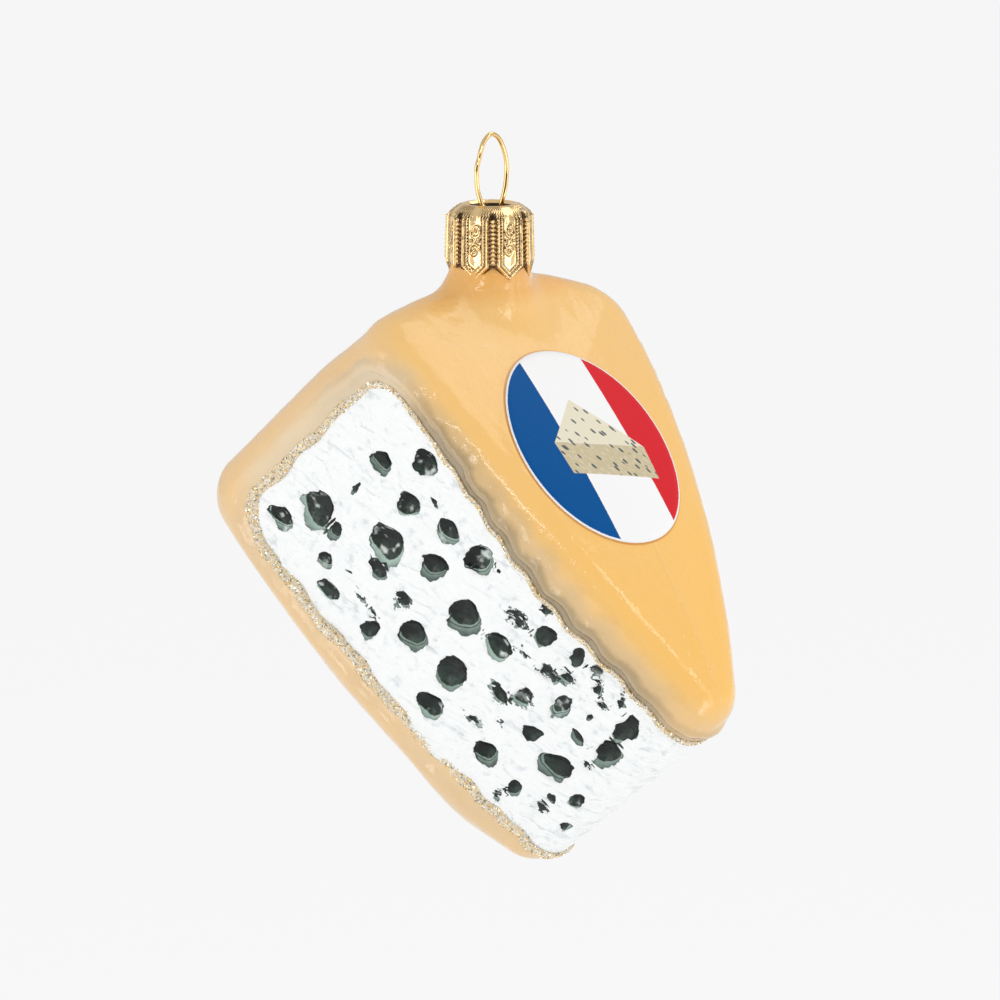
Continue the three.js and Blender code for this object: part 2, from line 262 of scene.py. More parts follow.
class Shader:
    """Adds and wires the nodes of one material."""

    def __init__(self, name: str) -> None:
        """Starts a material that holds only its output."""
        self.material = bpy.data.materials.new(name)
        self.material.use_nodes = True
        self.tree = self.material.node_tree
        self.tree.nodes.clear()
        self.output = self.tree.nodes.new("ShaderNodeOutputMaterial")

    def put(self, socket: bpy.types.NodeSocket, value: object) -> None:
        """Links a socket into an input, or sets the input to a plain value."""
        if isinstance(value, bpy.types.NodeSocket):
            self.tree.links.new(value, socket)
        elif isinstance(value, tuple) and len(value) == 3 and socket.type == "RGBA":
            socket.default_value = (*value, 1.0)
        else:
            socket.default_value = value

    def node(self, kind: str, inputs: dict | None = None, **settings: object
             ) -> bpy.types.Node:
        """Adds a node.

        Args:
            kind: the node's type name.
            inputs: value or socket for each input, by name or number.
            settings: properties of the node itself.

        Returns:
            The node.
        """
        made = self.tree.nodes.new(kind)
        for key, value in settings.items():
            setattr(made, key, value)
        for key, value in (inputs or {}).items():
            self.put(made.inputs[key], value)
        return made

    def math(self, operation: str, *values: object, clamp: bool = False
             ) -> bpy.types.NodeSocket:
        """Result of a Math node on one to three values."""
        made = self.node("ShaderNodeMath", dict(enumerate(values)), operation=operation,
                         use_clamp=clamp)
        return made.outputs[0]

    def mix(self, share: object, first: object, second: object, blend: str = "MIX"
            ) -> bpy.types.NodeSocket:
        """Colour between first, at 0, and second, at 1."""
        made = self.node("ShaderNodeMix", data_type="RGBA", blend_type=blend)
        self.put(made.inputs["Factor"], share)
        self.put(made.inputs[6], first)
        self.put(made.inputs[7], second)
        return made.outputs[2]

    def band(self, value: object, low: float, high: float, start: float = 0.0,
             end: float = 1.0) -> bpy.types.NodeSocket:
        """Smooth map of value from low..high to start..end, held outside."""
        made = self.node("ShaderNodeMapRange", {0: value, 1: low, 2: high, 3: start, 4: end},
                         interpolation_type="SMOOTHSTEP")
        return made.outputs[0]

    def attribute(self, name: str) -> bpy.types.Node:
        """Attribute node for a stored value or vector."""
        return self.node("ShaderNodeAttribute", attribute_name=name)

    def parts(self, vector: object) -> tuple[bpy.types.NodeSocket, ...]:
        """The three components of a vector."""
        return tuple(self.node("ShaderNodeSeparateXYZ", {0: vector}).outputs)

    def vector(self, x: object, y: object, z: object = 0.0) -> bpy.types.NodeSocket:
        """Vector from three components."""
        return self.node("ShaderNodeCombineXYZ", {0: x, 1: y, 2: z}).outputs[0]

    def noise(self, where: object, scale: float, detail: float = 3.0, rough: float = 0.5,
              offset: float = 0.0) -> bpy.types.NodeSocket:
        """Noise value, about 0.5 on average, at a position."""
        if offset:
            where = self.node("ShaderNodeVectorMath", {0: where, 1: (offset, -offset, 0.7 * offset)},
                              operation="ADD").outputs[0]
        made = self.node("ShaderNodeTexNoise", {"Vector": where, "Scale": scale,
                                                "Detail": detail, "Roughness": rough})
        return made.outputs[0]

    def here(self) -> bpy.types.NodeSocket:
        """Object coordinates, in metres."""
        return self.node("ShaderNodeTexCoord").outputs["Object"]

    def bump(self, height: object, distance: float, strength: float = 1.0,
             normal: object = None) -> bpy.types.NodeSocket:
        """Bumped normal from a height of 0 to 1 that stands for distance metres."""
        made = self.node("ShaderNodeBump", {"Height": height, "Distance": distance,
                                            "Strength": strength})
        if normal is not None:
            self.put(made.inputs["Normal"], normal)
        return made.outputs[0]

    def surface(self, **inputs: object) -> bpy.types.Material:
        """Principled surface with the given inputs, underscores standing for spaces."""
        body = self.node("ShaderNodeBsdfPrincipled",
                         {key.replace("_", " "): value for key, value in inputs.items()})
        self.tree.links.new(body.outputs[0], self.output.inputs["Surface"])
        return self.material


# ------------------------------------------------------------------------------- wedge shape


@dataclass(frozen=True)
class Arc:
    """One arc of the wedge's outline: angles in radians, length before it in millimetres."""

    centre: np.ndarray
    radius: float
    start: float
    end: float
    length: float


@dataclass(frozen=True)
class WedgeForm:
    """The blown wedge: a rounded triangle with bowed sides, domed faces and a sunk panel."""

    apex_to_back: float = 85.5
    back_width: float = 55.3
    thickness: float = 49.3
    end_thinning: float = 0.093
    edge_radius: float = 6.9
    rim_radius: float = 5.3
    side_bow: float = 2.5
    back_bow: float = 1.5
    face_dome: float = 0.8
    lower_trim: float = 0.5
    lean: float = math.radians(39.4)
    apex: tuple[float, float, float] = (0.0, -37.0, -100.6)
    panel_half: float = 68.4
    panel_corner: float = 5.0
    panel_depth: float = 1.5
    made: list = field(default_factory=list, compare=False, repr=False)

    def half_angle(self) -> float:
        """Angle between the wedge's middle plane and a cut side."""
        return math.atan(self.back_width / 2 / self.apex_to_back)

    def arcs(self) -> list[Arc]:
        """Nose, bowed side, corner and bowed back on the positive side, meeting smoothly."""
        if self.made:
            return self.made
        half = self.half_angle()
        sin, cos = math.sin(half), math.cos(half)
        nose = np.array([0.0, self.edge_radius / sin])
        corner_q = self.apex_to_back - self.edge_radius
        corner = np.array([(corner_q * sin - self.edge_radius) / cos, corner_q])

        def bowed(start: np.ndarray, end: np.ndarray, bow: float) -> tuple[np.ndarray, float]:
            """Centre and radius of the arc that swells by bow between two edge circles."""
            along = (end - start) / 2
            chord = float(np.linalg.norm(along))
            reach = (chord**2 + bow**2) / (2 * bow)
            inward = np.array([-along[1], along[0]]) / chord
            return start + along + inward * (reach - bow), reach + self.edge_radius

        def heading(centre: np.ndarray, to: np.ndarray) -> float:
            """Angle of the ray from one centre to another."""
            return math.atan2(to[1] - centre[1], to[0] - centre[0])

        side, side_radius = bowed(nose, corner, self.side_bow)
        back, back_radius = bowed(corner, corner * (-1, 1), self.back_bow)
        turns = [-math.pi / 2, heading(side, nose), heading(side, corner),
                 heading(back, corner), math.pi / 2]
        centres = [(nose, self.edge_radius), (side, side_radius), (corner, self.edge_radius),
                   (back, back_radius)]
        length = 0.0
        for (centre, radius), start, end in zip(centres, turns, turns[1:]):
            self.made.append(Arc(centre, radius, start, end, length))
            length += radius * (end - start)
        return self.made

    def side(self, pq: np.ndarray) -> tuple[np.ndarray, np.ndarray]:
        """Distance to the outline, negative inside, and signed distance along it.

        Args:
            pq: N by 2 positions.

        Returns:
            Distance and s for each position.
        """
        x, y = np.abs(pq[:, 0]), pq[:, 1]
        gap = np.full(len(pq), -30.0)
        s = np.zeros(len(pq))
        for arc in self.arcs():
            dx, dy = x - arc.centre[0], y - arc.centre[1]
            angle = np.arctan2(dy, dx)
            reach = np.hypot(dx, dy) - arc.radius
            nearer = (angle >= arc.start - 1e-9) & (angle <= arc.end + 1e-9) & (reach > gap)
            gap = np.where(nearer, reach, gap)
            s = np.where(nearer, arc.length + (angle - arc.start) * arc.radius, s)
        return gap, np.where(pq[:, 0] < 0, -s, s)

    def outline(self, s: np.ndarray) -> tuple[np.ndarray, np.ndarray]:
        """Point and outward normal, in (p, q), at signed distances along the outline."""
        a = np.abs(s)
        point, normal = np.zeros((len(s), 2)), np.zeros((len(s), 2))
        for arc in self.arcs():
            here = a >= arc.length
            angle = arc.start + (a[here] - arc.length) / arc.radius
            normal[here] = np.stack([np.cos(angle), np.sin(angle)], 1)
            point[here] = arc.centre + arc.radius * normal[here]
        flip = np.stack([np.where(s < 0, -1.0, 1.0), np.ones(len(s))], 1)
        return point * flip, normal * flip

    def nose_q(self) -> float:
        """Distance from the sharp apex to the rounded nose."""
        return self.edge_radius / math.sin(self.half_angle()) - self.edge_radius

    def thinning(self, q: np.ndarray) -> np.ndarray:
        """Share of the full thickness at q."""
        t = np.clip((q - self.nose_q()) / (self.apex_to_back - self.nose_q()), 0, 1)
        return 1 - self.end_thinning * (1 - 4 * t * (1 - t))

    def panel_inside(self, s: np.ndarray, r: np.ndarray) -> np.ndarray:
        """Distance inside the sunk panel's hand-cut edge, negative outside.

        Args:
            s: distance along the outline.
            r: height through the thickness, before thinning.

        Returns:
            Distance to the edge.
        """
        a = np.abs(s)
        ripple = smoothstep(6, 16, a) * (1 - smoothstep(50, 60, a))
        top = (16.1 + 2.7 * smoothstep(32, 62, a) - 0.5 * np.exp(-(((a - 28) / 9) ** 2))
               + 0.33 * ripple * np.sin(2 * math.pi * s / 5.9 + 0.6 * np.sin(s / 7)))
        low = (-18.0 - 1.3 * np.exp(-((s / 9) ** 2)) + 0.9 * np.exp(-(((a - 39) / 9) ** 2))
               - 0.35 * smoothstep(55, 66, a)
               + 0.3 * np.sin(2 * math.pi * s / 11.5) + 0.16 * np.sin(2 * math.pi * s / 4.7))
        mid, half = (top + low) / 2, (top - low) / 2
        x = a - (self.panel_half - self.panel_corner) + 0.18 * np.sin(r / 1.7)
        y = np.abs(r - mid) - (half - self.panel_corner)
        outside = np.hypot(np.maximum(x, 0), np.maximum(y, 0))
        return self.panel_corner - outside - np.minimum(np.maximum(x, y), 0)

    def recess(self, s: np.ndarray, r: np.ndarray) -> np.ndarray:
        """How far the glass lies inside the plain side at (s, r)."""
        inside = self.panel_inside(s, r)
        shallow_nose = 1 - 0.75 * np.exp(-((s / 8) ** 2))
        slope = 0.62 * smoothstep(-3.4, -0.6, inside) + 0.38 * smoothstep(-0.5, 0.8, inside)
        upper = smoothstep(8.0, 14.0, r)
        bulge = 0.32 * np.exp(-(((inside + 2.6) / 0.8) ** 2)) * upper
        groove = 0.18 * np.exp(-(((inside + 4.5) / 0.5) ** 2)) * upper
        tuck = 0.5 * smoothstep(-15.0, -23.0, r) * np.exp(-((s / 6) ** 2))
        tuck += 1.0 * smoothstep(6.0, 18.0, r) * np.exp(-(((np.abs(s) - 75) / 7.5) ** 2))
        return self.panel_depth * slope * shallow_nose + tuck + groove - bulge

    def face_height(self, gap: np.ndarray) -> np.ndarray:
        """Unthinned height of a triangular face, given the distance to the outline."""
        t = np.clip(-(gap + self.rim_radius) / 12.0, 0, 1)
        return self.thickness / 2 + self.face_dome * (1 - (1 - t) ** 2)

    def body(self, gap: np.ndarray, s: np.ndarray, rr: np.ndarray) -> np.ndarray:
        """Signed distance to the wedge alone, from outline distance, s and unthinned r."""
        a = gap + self.recess(s, rr) + self.rim_radius
        along = np.abs(s)
        trim = self.lower_trim * smoothstep(14.0, 34.0, along) * smoothstep(72.0, 58.0, along)
        b = np.abs(rr) - self.face_height(gap) + self.rim_radius + trim * (rr < 0)
        outside = np.hypot(np.maximum(a, 0), np.maximum(b, 0))
        return outside + np.minimum(np.maximum(a, b), 0) - self.rim_radius

    def to_row(self, pqr: np.ndarray) -> np.ndarray:
        """Wedge axes to the frame's axes."""
        p, q, r = pqr.T
        sin, cos = math.sin(self.lean), math.cos(self.lean)
        return np.stack([p, q * sin - r * cos, q * cos + r * sin], 1) + np.array(self.apex)

    def on_face(self, p: np.ndarray, q: np.ndarray, lift: float) -> np.ndarray:
        """Points on the sticker face at (p, q), lifted off it, in the frame's axes."""
        gap, _ = self.side(np.stack([p, q], 1))
        r = self.thinning(q) * self.face_height(gap) + lift
        return self.to_row(np.stack([p, q, r], 1))


class PitTone(Enum):
    """How a pit is painted: value is (pale crescent share, ragged edge in mm); the pale crescent is
    a painted reflection.
    """

    DARK = (0.35, 0.10)
    RING = (0.75, 0.08)
    GREY = (1.0, 0.12)
    RAGGED = (0.55, 0.80)


@dataclass(frozen=True)
class Pit:
    """One pressed and painted pit on a cut side, sized in millimetres."""

    s: float
    r: float
    wide: float
    tall: float
    tone: PitTone = PitTone.DARK
    turn: float = 0.0


D, O, G, X = PitTone.DARK, PitTone.RING, PitTone.GREY, PitTone.RAGGED
LEFT_SIDE_PITS = [
    Pit(-55.0, 14.8, 4.0, 4.2, G), Pit(-59.3, 8.6, 3.5, 3.8), Pit(-52.5, 7.8, 3.6, 4.0, G),
    Pit(-46.0, 10.2, 3.6, 4.0, O), Pit(-50.2, 11.6, 1.7, 1.1), Pit(-40.2, 11.3, 4.4, 5.0, O, 35),
    Pit(-43.8, 4.3, 3.8, 4.6), Pit(-35.8, 2.6, 5.4, 5.6), Pit(-29.8, 3.6, 4.4, 4.4, G),
    Pit(-26.6, 11.3, 2.9, 4.2), Pit(-31.0, 9.6, 3.6, 2.6, X), Pit(-29.2, 14.6, 1.4, 1.8, X),
    Pit(-21.6, 12.8, 2.2, 3.8), Pit(-18.3, 14.0, 2.2, 2.4, X), Pit(-16.6, 11.8, 1.2, 2.6, X, 25),
    Pit(-14.4, 10.4, 1.3, 1.5, X), Pit(-13.0, 13.2, 1.0, 2.2, X, 30),
    Pit(-9.7, 10.6, 3.2, 5.2), Pit(-20.5, 9.0, 2.4, 1.8, X), Pit(-22.6, 7.0, 2.8, 2.6, X),
    Pit(-18.0, 4.4, 2.6, 5.2, O), Pit(-14.2, 7.0, 1.1, 1.3), Pit(-13.4, 2.8, 3.0, 1.6, D, -25),
    Pit(-8.8, 4.8, 3.8, 5.0), Pit(-50.4, 0.2, 6.2, 6.0, G), Pit(-48.8, -3.9, 3.0, 2.4),
    Pit(-60.8, -6.3, 5.2, 6.8, O), Pit(-56.8, -5.8, 1.9, 3.2), Pit(-43.4, -3.8, 2.8, 3.2, X),
    Pit(-38.8, -6.4, 4.2, 5.2), Pit(-31.4, -5.8, 4.7, 5.6), Pit(-25.0, -2.0, 3.4, 2.4, X, -25),
    Pit(-22.4, 0.6, 3.0, 3.4, X), Pit(-17.8, -2.9, 2.8, 3.3), Pit(-12.2, -4.4, 4.8, 5.6, D, -15),
    Pit(-9.4, 0.2, 2.2, 1.4, X, -20), Pit(-6.5, -5.9, 2.4, 3.0, O), Pit(-54.9, -10.6, 2.3, 2.8, O),
    Pit(-63.6, -13.0, 4.4, 3.6, G, 20), Pit(-51.5, -13.4, 3.8, 2.8, G, 20),
    Pit(-43.5, -12.1, 2.7, 3.7), Pit(-30.0, -12.6, 4.2, 4.2, O), Pit(-24.4, -8.8, 2.6, 1.4, X),
    Pit(-19.8, -11.6, 3.9, 4.1), Pit(-13.6, -12.6, 2.0, 3.1), Pit(-9.2, -12.1, 2.4, 2.7, X),
    Pit(-9.3, -9.2, 1.5, 1.9), Pit(-4.5, -12.0, 1.8, 2.3, O), Pit(-14.4, -15.8, 1.2, 2.6, X),
    Pit(-59.2, 1.8, 0.7, 2.2), Pit(-51.2, -8.2, 1.2, 0.9), Pit(-48.0, -9.4, 1.7, 0.5, X),
    Pit(-44.8, -9.5, 1.6, 0.5, X), Pit(-22.0, -5.8, 1.3, 0.9, X), Pit(-37.5, 12.7, 0.7, 0.6),
    Pit(-26.5, 6.4, 1.6, 0.7, X, -20),
]


def scattered_pits(form: WedgeForm, wanted: int) -> list[Pit]:
    """Pits for the other cut side, dealt at random with smaller ones towards the nose."""
    rng = np.random.default_rng(7)
    pits: list[Pit] = []
    for _ in range(6000):
        if len(pits) >= wanted:
            break
        s = rng.uniform(4, form.panel_half - 3)
        r = rng.uniform(-15.5, 15)
        size = rng.uniform(1.6, 3.4 + 3.0 * s / form.panel_half) * rng.choice([1.0, 1.0, 0.5])
        if all(math.hypot(s - o.s, r - o.r) > 0.62 * (size + max(o.wide, o.tall)) for o in pits):
            tone = rng.choice([D, D, O, G, X]) if size > 1.8 else rng.choice([D, X])
            pits.append(Pit(s, r, size, size * rng.uniform(0.85, 1.25), tone,
                            rng.uniform(-40, 40)))
    return pits


@dataclass
class GlassBody:
    """Lacquered glass wedge with its neck, sunk painted panel and pressed pits."""

    form: WedgeForm
    cell: float = 0.44
    neck_radius: float = 5.3
    neck_bore: float = 4.3
    neck_top: float = -11.6
    bore_floor: float = -24.0
    neck_blend: float = 5.0
    mound: float = 2.0
    pit_count_far_side: int = 62

    def distance(self, pqr: np.ndarray, gap: np.ndarray, s: np.ndarray) -> np.ndarray:
        """Signed distance to the glass.

        Args:
            pqr: N by 3 positions in wedge axes.
            gap: distance to the outline at each.
            s: distance along the outline at each.

        Returns:
            Distance, negative in the glass.
        """
        wedge = self.form.body(gap, s, pqr[:, 2] / self.form.thinning(pqr[:, 1]))
        x, y, z = self.form.to_row(pqr).T
        reach = np.hypot(x, y)
        crease = 0.18 * np.exp(-(((z + 20.6) / 0.35) ** 2))
        wedge -= self.mound * np.exp(-(((x - 4.5) / 14) ** 2)) * np.exp(-((y / 4.6) ** 2))
        neck = np.maximum(np.maximum(reach - self.neck_radius + crease, z - self.neck_top),
                          -30.0 - z)
        h = np.maximum(self.neck_blend - np.abs(wedge - neck), 0) / self.neck_blend
        joined = np.minimum(wedge, neck) - h * h * self.neck_blend / 4
        bore = np.maximum(reach - self.neck_bore, self.bore_floor - z)
        return np.maximum(joined, -bore)

    def at(self, pqr: np.ndarray) -> np.ndarray:
        """Signed distance at free positions."""
        gap, s = self.form.side(pqr[:, :2])
        return self.distance(pqr, gap, s)

    def shell(self) -> tuple[np.ndarray, np.ndarray]:
        """Smooth quad surface of the plain glass, in wedge axes."""
        low, high = np.array([-27.5, 12.5, -27.0]), np.array([27.5, 97.5, 33.5])
        axes = [np.arange(a, b, self.cell) for a, b in zip(low, high)]
        p, q = np.meshgrid(axes[0], axes[1], indexing="ij")
        gap, s = self.form.side(np.stack([p.ravel(), q.ravel()], 1))
        layers = []
        for r in axes[2]:
            pqr = np.stack([p.ravel(), q.ravel(), np.full(p.size, r)], 1)
            layers.append(self.distance(pqr, gap, s).reshape(p.shape))
        points, quads = surface_net(np.stack(layers, 2).astype(np.float32), low, self.cell)
        for _ in range(3):
            slope, value = self.slope(points)
            steep = (slope**2).sum(1, keepdims=True)
            points = points - slope * np.clip(value[:, None] / np.maximum(steep, 0.25), -0.3, 0.3)
        return points, quads

    def slope(self, points: np.ndarray) -> tuple[np.ndarray, np.ndarray]:
        """Gradient and value of the distance at points."""
        tiny = 0.02
        slope = np.stack([
            (self.at(points + tiny * axis) - self.at(points - tiny * axis)) / (2 * tiny)
            for axis in np.eye(3)], 1)
        return slope, self.at(points)

    def pits(self, s: np.ndarray, r: np.ndarray) -> dict[str, np.ndarray]:
        """Depth and paint marks of every pit at each surface position.

        Args:
            s: distance along the outline.
            r: unthinned height.

        Returns:
            depth in mm; edge, mm inside the nearest pit's rim; place, that pit's own (u, v) with its
            rim at 1 and its radius in mm; tone, its pale share (strength of its painted reflection
            crescent and glint), ragged edge and seed.
        """
        out = {"depth": np.zeros_like(s), "edge": np.full_like(s, -9.0),
               "place": np.tile([9.0, 9.0, 1.0], (len(s), 1)), "tone": np.zeros((len(s), 3))}
        rng = np.random.default_rng(11)
        for pit in LEFT_SIDE_PITS + scattered_pits(self.form, self.pit_count_far_side):
            waves = rng.uniform(0, 2 * math.pi, 3)
            seed = rng.uniform(0, 1)
            slant = rng.uniform(-0.5, 0.9)
            near = np.flatnonzero((np.abs(s - pit.s) < pit.wide + 2) &
                                  (np.abs(r - pit.r) < pit.tall + 2))
            turn = math.radians(pit.turn)
            ds, dr = s[near] - pit.s, r[near] - pit.r
            u = (ds * math.cos(turn) + dr * math.sin(turn)) / (pit.wide / 2)
            v = (dr * math.cos(turn) - ds * math.sin(turn)) / (pit.tall / 2)
            angle = np.arctan2(v, u)
            rho = np.hypot(u, v) * (1 + 0.07 * np.sin(2 * angle + waves[0])
                                    + 0.06 * np.sin(3 * angle + waves[1])
                                    + 0.03 * np.sin(5 * angle + waves[2]))
            size = min(pit.wide, pit.tall) / 2
            bowl = np.clip(1 - rho**2, 0, 1) ** 0.75 * min(0.5 * size, 1.05)
            lip = 0.07 * min(size, 1.0) * np.exp(-(((rho - 1.14) / 0.14) ** 2))
            out["depth"][near] += bowl - lip
            edge = (1 - np.hypot(u, v)) * size
            better = edge > out["edge"][near]
            chosen = near[better]
            out["edge"][chosen] = edge[better]
            turned = angle + slant
            mine = np.stack([rho * np.cos(turned), rho * np.sin(turned),
                             np.full_like(u, size)], 1)
            out["place"][chosen] = mine[better]
            out["tone"][chosen] = (*pit.tone.value, seed)
        return out

    def build(self) -> bpy.types.Object:
        """Makes the glass, presses its pits and stores what the paint needs."""
        form = self.form
        points, quads = self.shell()
        slope, _ = self.slope(points)
        normal = slope / np.maximum(np.linalg.norm(slope, axis=1, keepdims=True), 1e-6)
        gap, s = form.side(points[:, :2])
        r = points[:, 2] / form.thinning(points[:, 1])
        inside = form.panel_inside(s, r)
        on_side = smoothstep(-3.2, -1.0, gap + form.recess(s, r))
        on_side *= smoothstep(form.thickness / 2 + 1, form.thickness / 2 - 5, np.abs(r))
        row = form.to_row(points)
        outer = 1 - smoothstep(-22, -19.5, row[:, 2])
        panel = smoothstep(-0.2, 1.2, inside) * on_side
        ledge = smoothstep(-6.0, -4.0, inside) * smoothstep(0.0, -1.5, inside) \
            * smoothstep(6.0, 12.0, r)
        marks = self.pits(s, r)
        marks["edge"] = np.where((on_side > 0.5) & (inside > -1), marks["edge"], -9.0)
        lumps = relief(points, 2.6, 2.0, 3.0)
        p, q = points[:, 0], points[:, 1]
        step = np.clip(((p + 8) * 5 - (q - 22) * 5.5) / 55.25, 0, 1)
        streak = np.hypot(p + 8 - 5 * step, q - 22 + 5.5 * step) * (1 + 0.25 * lumps)
        crease = np.exp(-((streak / 0.6) ** 2)) * (r > 20)
        sticker = RoundSticker(form)
        around = np.hypot((p - sticker.centre_p) * sticker.oval, q - sticker.centre_q)
        around = (around - sticker.radius) / sticker.stretch
        sway = relief(points, 15.0, 1.5, 9.0)
        calm = 1 - 0.8 * smoothstep(16.5, 15.0, np.hypot(points[:, 0], points[:, 1] - 57.0)) \
            * (r > 20)
        shift = (-marks["depth"] * on_side + 0.10 * lumps * panel + 0.26 * crease
                 + 0.14 * lumps * ledge + (0.14 * sway - 0.12 + 0.045 * lumps) * outer * calm)
        points = points + normal * shift[:, None]
        piece = new_mesh("glass_body_lacquered", form.to_row(points), quads)
        store(piece, "unroll", np.stack([s, r, points[:, 1]], 1))
        store(piece, "panel", np.stack([np.where(on_side > 0.02, inside, -9.0), on_side,
                                        np.where(r > 20, around, 9.0)], 1))
        store(piece, "pit_place", marks["place"])
        store(piece, "pit_tone", marks["tone"])
        store(piece, "pit_edge", marks["edge"])
        return finish_piece(piece, GlassFinish().material(), "lacquered_glass", "glass_body")


@dataclass(frozen=True)
class GlassFinish:
    """Honey lacquer over glass, a taupe airbrush band above the panel deepened by painted shade
    under the ledge, white paint, and dark pits with painted shade, reflections and glints; painted
    shade on the bottom side.
    """

    honey: Colour = linear(254, 200, 108)
    honey_pale: Colour = linear(248, 202, 132)
    rind: Colour = linear(238, 200, 148)
    underside_shade: Colour = linear(218, 194, 160)
    neck: Colour = linear(244, 184, 104)
    taupe: Colour = linear(166, 146, 112)
    taupe_pale: Colour = linear(206, 180, 138)
    umber: Colour = linear(104, 90, 68)
    mist: Colour = linear(224, 208, 180)
    halo: Colour = linear(206, 122, 40)
    white: Colour = linear(248, 250, 250)
    stroke: Colour = linear(172, 184, 192)
    pit_dark: Colour = linear(6, 12, 9)
    pit_mid: Colour = linear(52, 68, 60)
    pit_reflection_pale: Colour = linear(176, 200, 188)
    pit_gleam: Colour = linear(226, 235, 229)

    def material(self) -> bpy.types.Material:
        """Builds the material from the marks stored on the glass."""
        sh = Shader("lacquered_glass")
        s, r, _ = sh.parts(sh.attribute("unroll").outputs["Vector"])
        inside, on_side, around = sh.parts(sh.attribute("panel").outputs["Vector"])
        here = sh.here()
        flat = sh.vector(s, r)
        lacquer = self.lacquer(sh, here, flat, inside, on_side)
        halo = sh.band(sh.math("ABSOLUTE", sh.math("ADD", around, -0.12)), 0.22, 0.02, 0.0, 0.6)
        lacquer = sh.mix(halo, lacquer, self.halo)
        paint, pit, strokes = self.paint(sh, flat, s, r)
        border = sh.math("MULTIPLY_ADD", sh.noise(flat, 1.1, 3.0), 0.6, inside)
        painted = sh.math("MULTIPLY", sh.band(border, 0.2, 0.4), sh.band(on_side, 0.1, 0.3))
        colour = sh.mix(painted, lacquer, paint)
        fine = sh.noise(here, 420.0, 3.0)
        gloss = sh.band(fine, 0.3, 0.8, 0.08, 0.16)
        gloss = sh.math("MULTIPLY_ADD", painted, 0.16, gloss)
        well = sh.math("MULTIPLY", pit, painted)
        gloss = sh.math("MULTIPLY_ADD", well, -0.18, gloss)
        coat = sh.math("MULTIPLY_ADD", well, -0.2, 0.3)
        normal = sh.bump(sh.noise(here, 170.0, 2.0), 0.00030, 0.6)
        normal = sh.bump(sh.noise(here, 480.0, 3.0, 0.6), 0.00022, 0.9, normal)
        normal = sh.bump(self.seam(sh, here, r), 0.00008, 0.6, normal)
        normal = sh.bump(sh.math("MULTIPLY", strokes, painted), 0.00022, 1.0, normal)
        return sh.surface(Base_Color=colour, Roughness=gloss, Normal=normal, Coat_Weight=coat,
                          Coat_Roughness=0.04, Specular_IOR_Level=0.25, IOR=1.5)

    def seam(self, sh: Shader, here: object, r: object) -> bpy.types.NodeSocket:
        """Faint mould seam down the middle of the sticker face."""
        x = sh.parts(here)[0]
        wobble = sh.math("MULTIPLY_ADD", sh.noise(here, 90.0, 1.0), 0.0012, x)
        away = sh.math("ABSOLUTE", sh.math("ADD", wobble, -0.0006))
        return sh.math("MULTIPLY", sh.band(away, 0.0005, 0.0), sh.band(r, 19.0, 22.0))

    def lacquer(self, sh: Shader, here: object, flat: object, inside: object,
                on_side: object) -> bpy.types.NodeSocket:
        """Colour of the outer lacquer, from honey to rind, with painted shade towards the bottom
        side and a taupe airbrush band above the panel, deepened by painted shade under the ledge.
        """
        s, r, _ = sh.parts(flat)
        q = sh.parts(sh.attribute("unroll").outputs["Vector"])[2]
        z = sh.parts(here)[2]
        cloud = sh.noise(here, 70.0, 3.0)
        base = sh.mix(sh.band(q, 30.0, 78.0, 0.0, 0.7), self.honey, self.honey_pale)
        base = sh.mix(sh.math("MULTIPLY", on_side, 0.85), base, self.rind)
        # Painted shade, partly the rind's own beige-taupe: the lacquer turns darker and greyer
        # towards the bottom side.
        base = sh.mix(sh.band(r, -16.5, -23.0, 0.0, 0.8), base, self.underside_shade)
        base = sh.mix(sh.band(z, -0.0235, -0.0205), base, self.neck)
        base = sh.mix(sh.band(cloud, 0.35, 0.7, 0.0, 0.25), base, self.honey_pale)
        base = sh.mix(sh.math("MULTIPLY", self.seam(sh, here, r), 0.35), base, self.honey_pale)
        spot = sh.node("ShaderNodeTexVoronoi", {"Vector": here, "Scale": 130.0}, feature="F1")
        dust = sh.math("MULTIPLY", sh.band(spot.outputs["Distance"], 0.035, 0.02),
                       sh.band(sh.noise(here, 60.0, 0.0, offset=0.3), 0.55, 0.6))
        base = sh.mix(dust, base, self.umber)
        # Painted shade over airbrush: above the panel, under the ledge, the lacquer darkens in tiers
        # from pale taupe to taupe to umber towards the panel's edge.
        wavy = sh.math("MULTIPLY_ADD", sh.noise(flat, 0.25, 1.0), 1.6, inside)
        wavy = sh.math("MULTIPLY_ADD", sh.noise(flat, 1.3, 2.0, offset=9.0), 0.5, wavy)
        far = sh.math("ABSOLUTE", s)
        beside = sh.math("MULTIPLY", sh.band(r, 2.0, 10.0), sh.band(on_side, 0.0, 0.6))
        upper = sh.math("MULTIPLY", beside, sh.band(far, 66.0, 54.0, 0.25, 1.0))
        upper = sh.math("MULTIPLY", upper, sh.band(far, 4.0, 14.0, 0.35, 1.0))
        outer_ledge_shade = sh.math("MULTIPLY", sh.band(wavy, -6.2, -3.6), upper)
        base = sh.mix(sh.math("MULTIPLY", outer_ledge_shade, 0.6), base, self.taupe_pale)
        ledge_shade = sh.math("MULTIPLY", sh.band(wavy, -3.3, -2.3), upper)
        base = sh.mix(sh.math("MULTIPLY", ledge_shade, 0.8), base, self.taupe)
        crease = sh.math("MULTIPLY", sh.band(wavy, -1.5, -0.9), upper)
        base = sh.mix(sh.math("MULTIPLY", crease, 0.75), base, self.umber)
        back = sh.math("MULTIPLY", sh.band(far, 60.0, 67.0), sh.band(wavy, -5.0, -0.6))
        back = sh.math("MULTIPLY", back, sh.band(r, -20.0, -8.0))
        base = sh.mix(sh.math("MULTIPLY", back, 0.7), base, self.mist)
        pool = sh.math("MULTIPLY", sh.band(wavy, -2.6, 0.2), sh.band(on_side, 0.2, 0.8))
        return sh.mix(sh.math("MULTIPLY", pool, 0.3), base, self.mist)

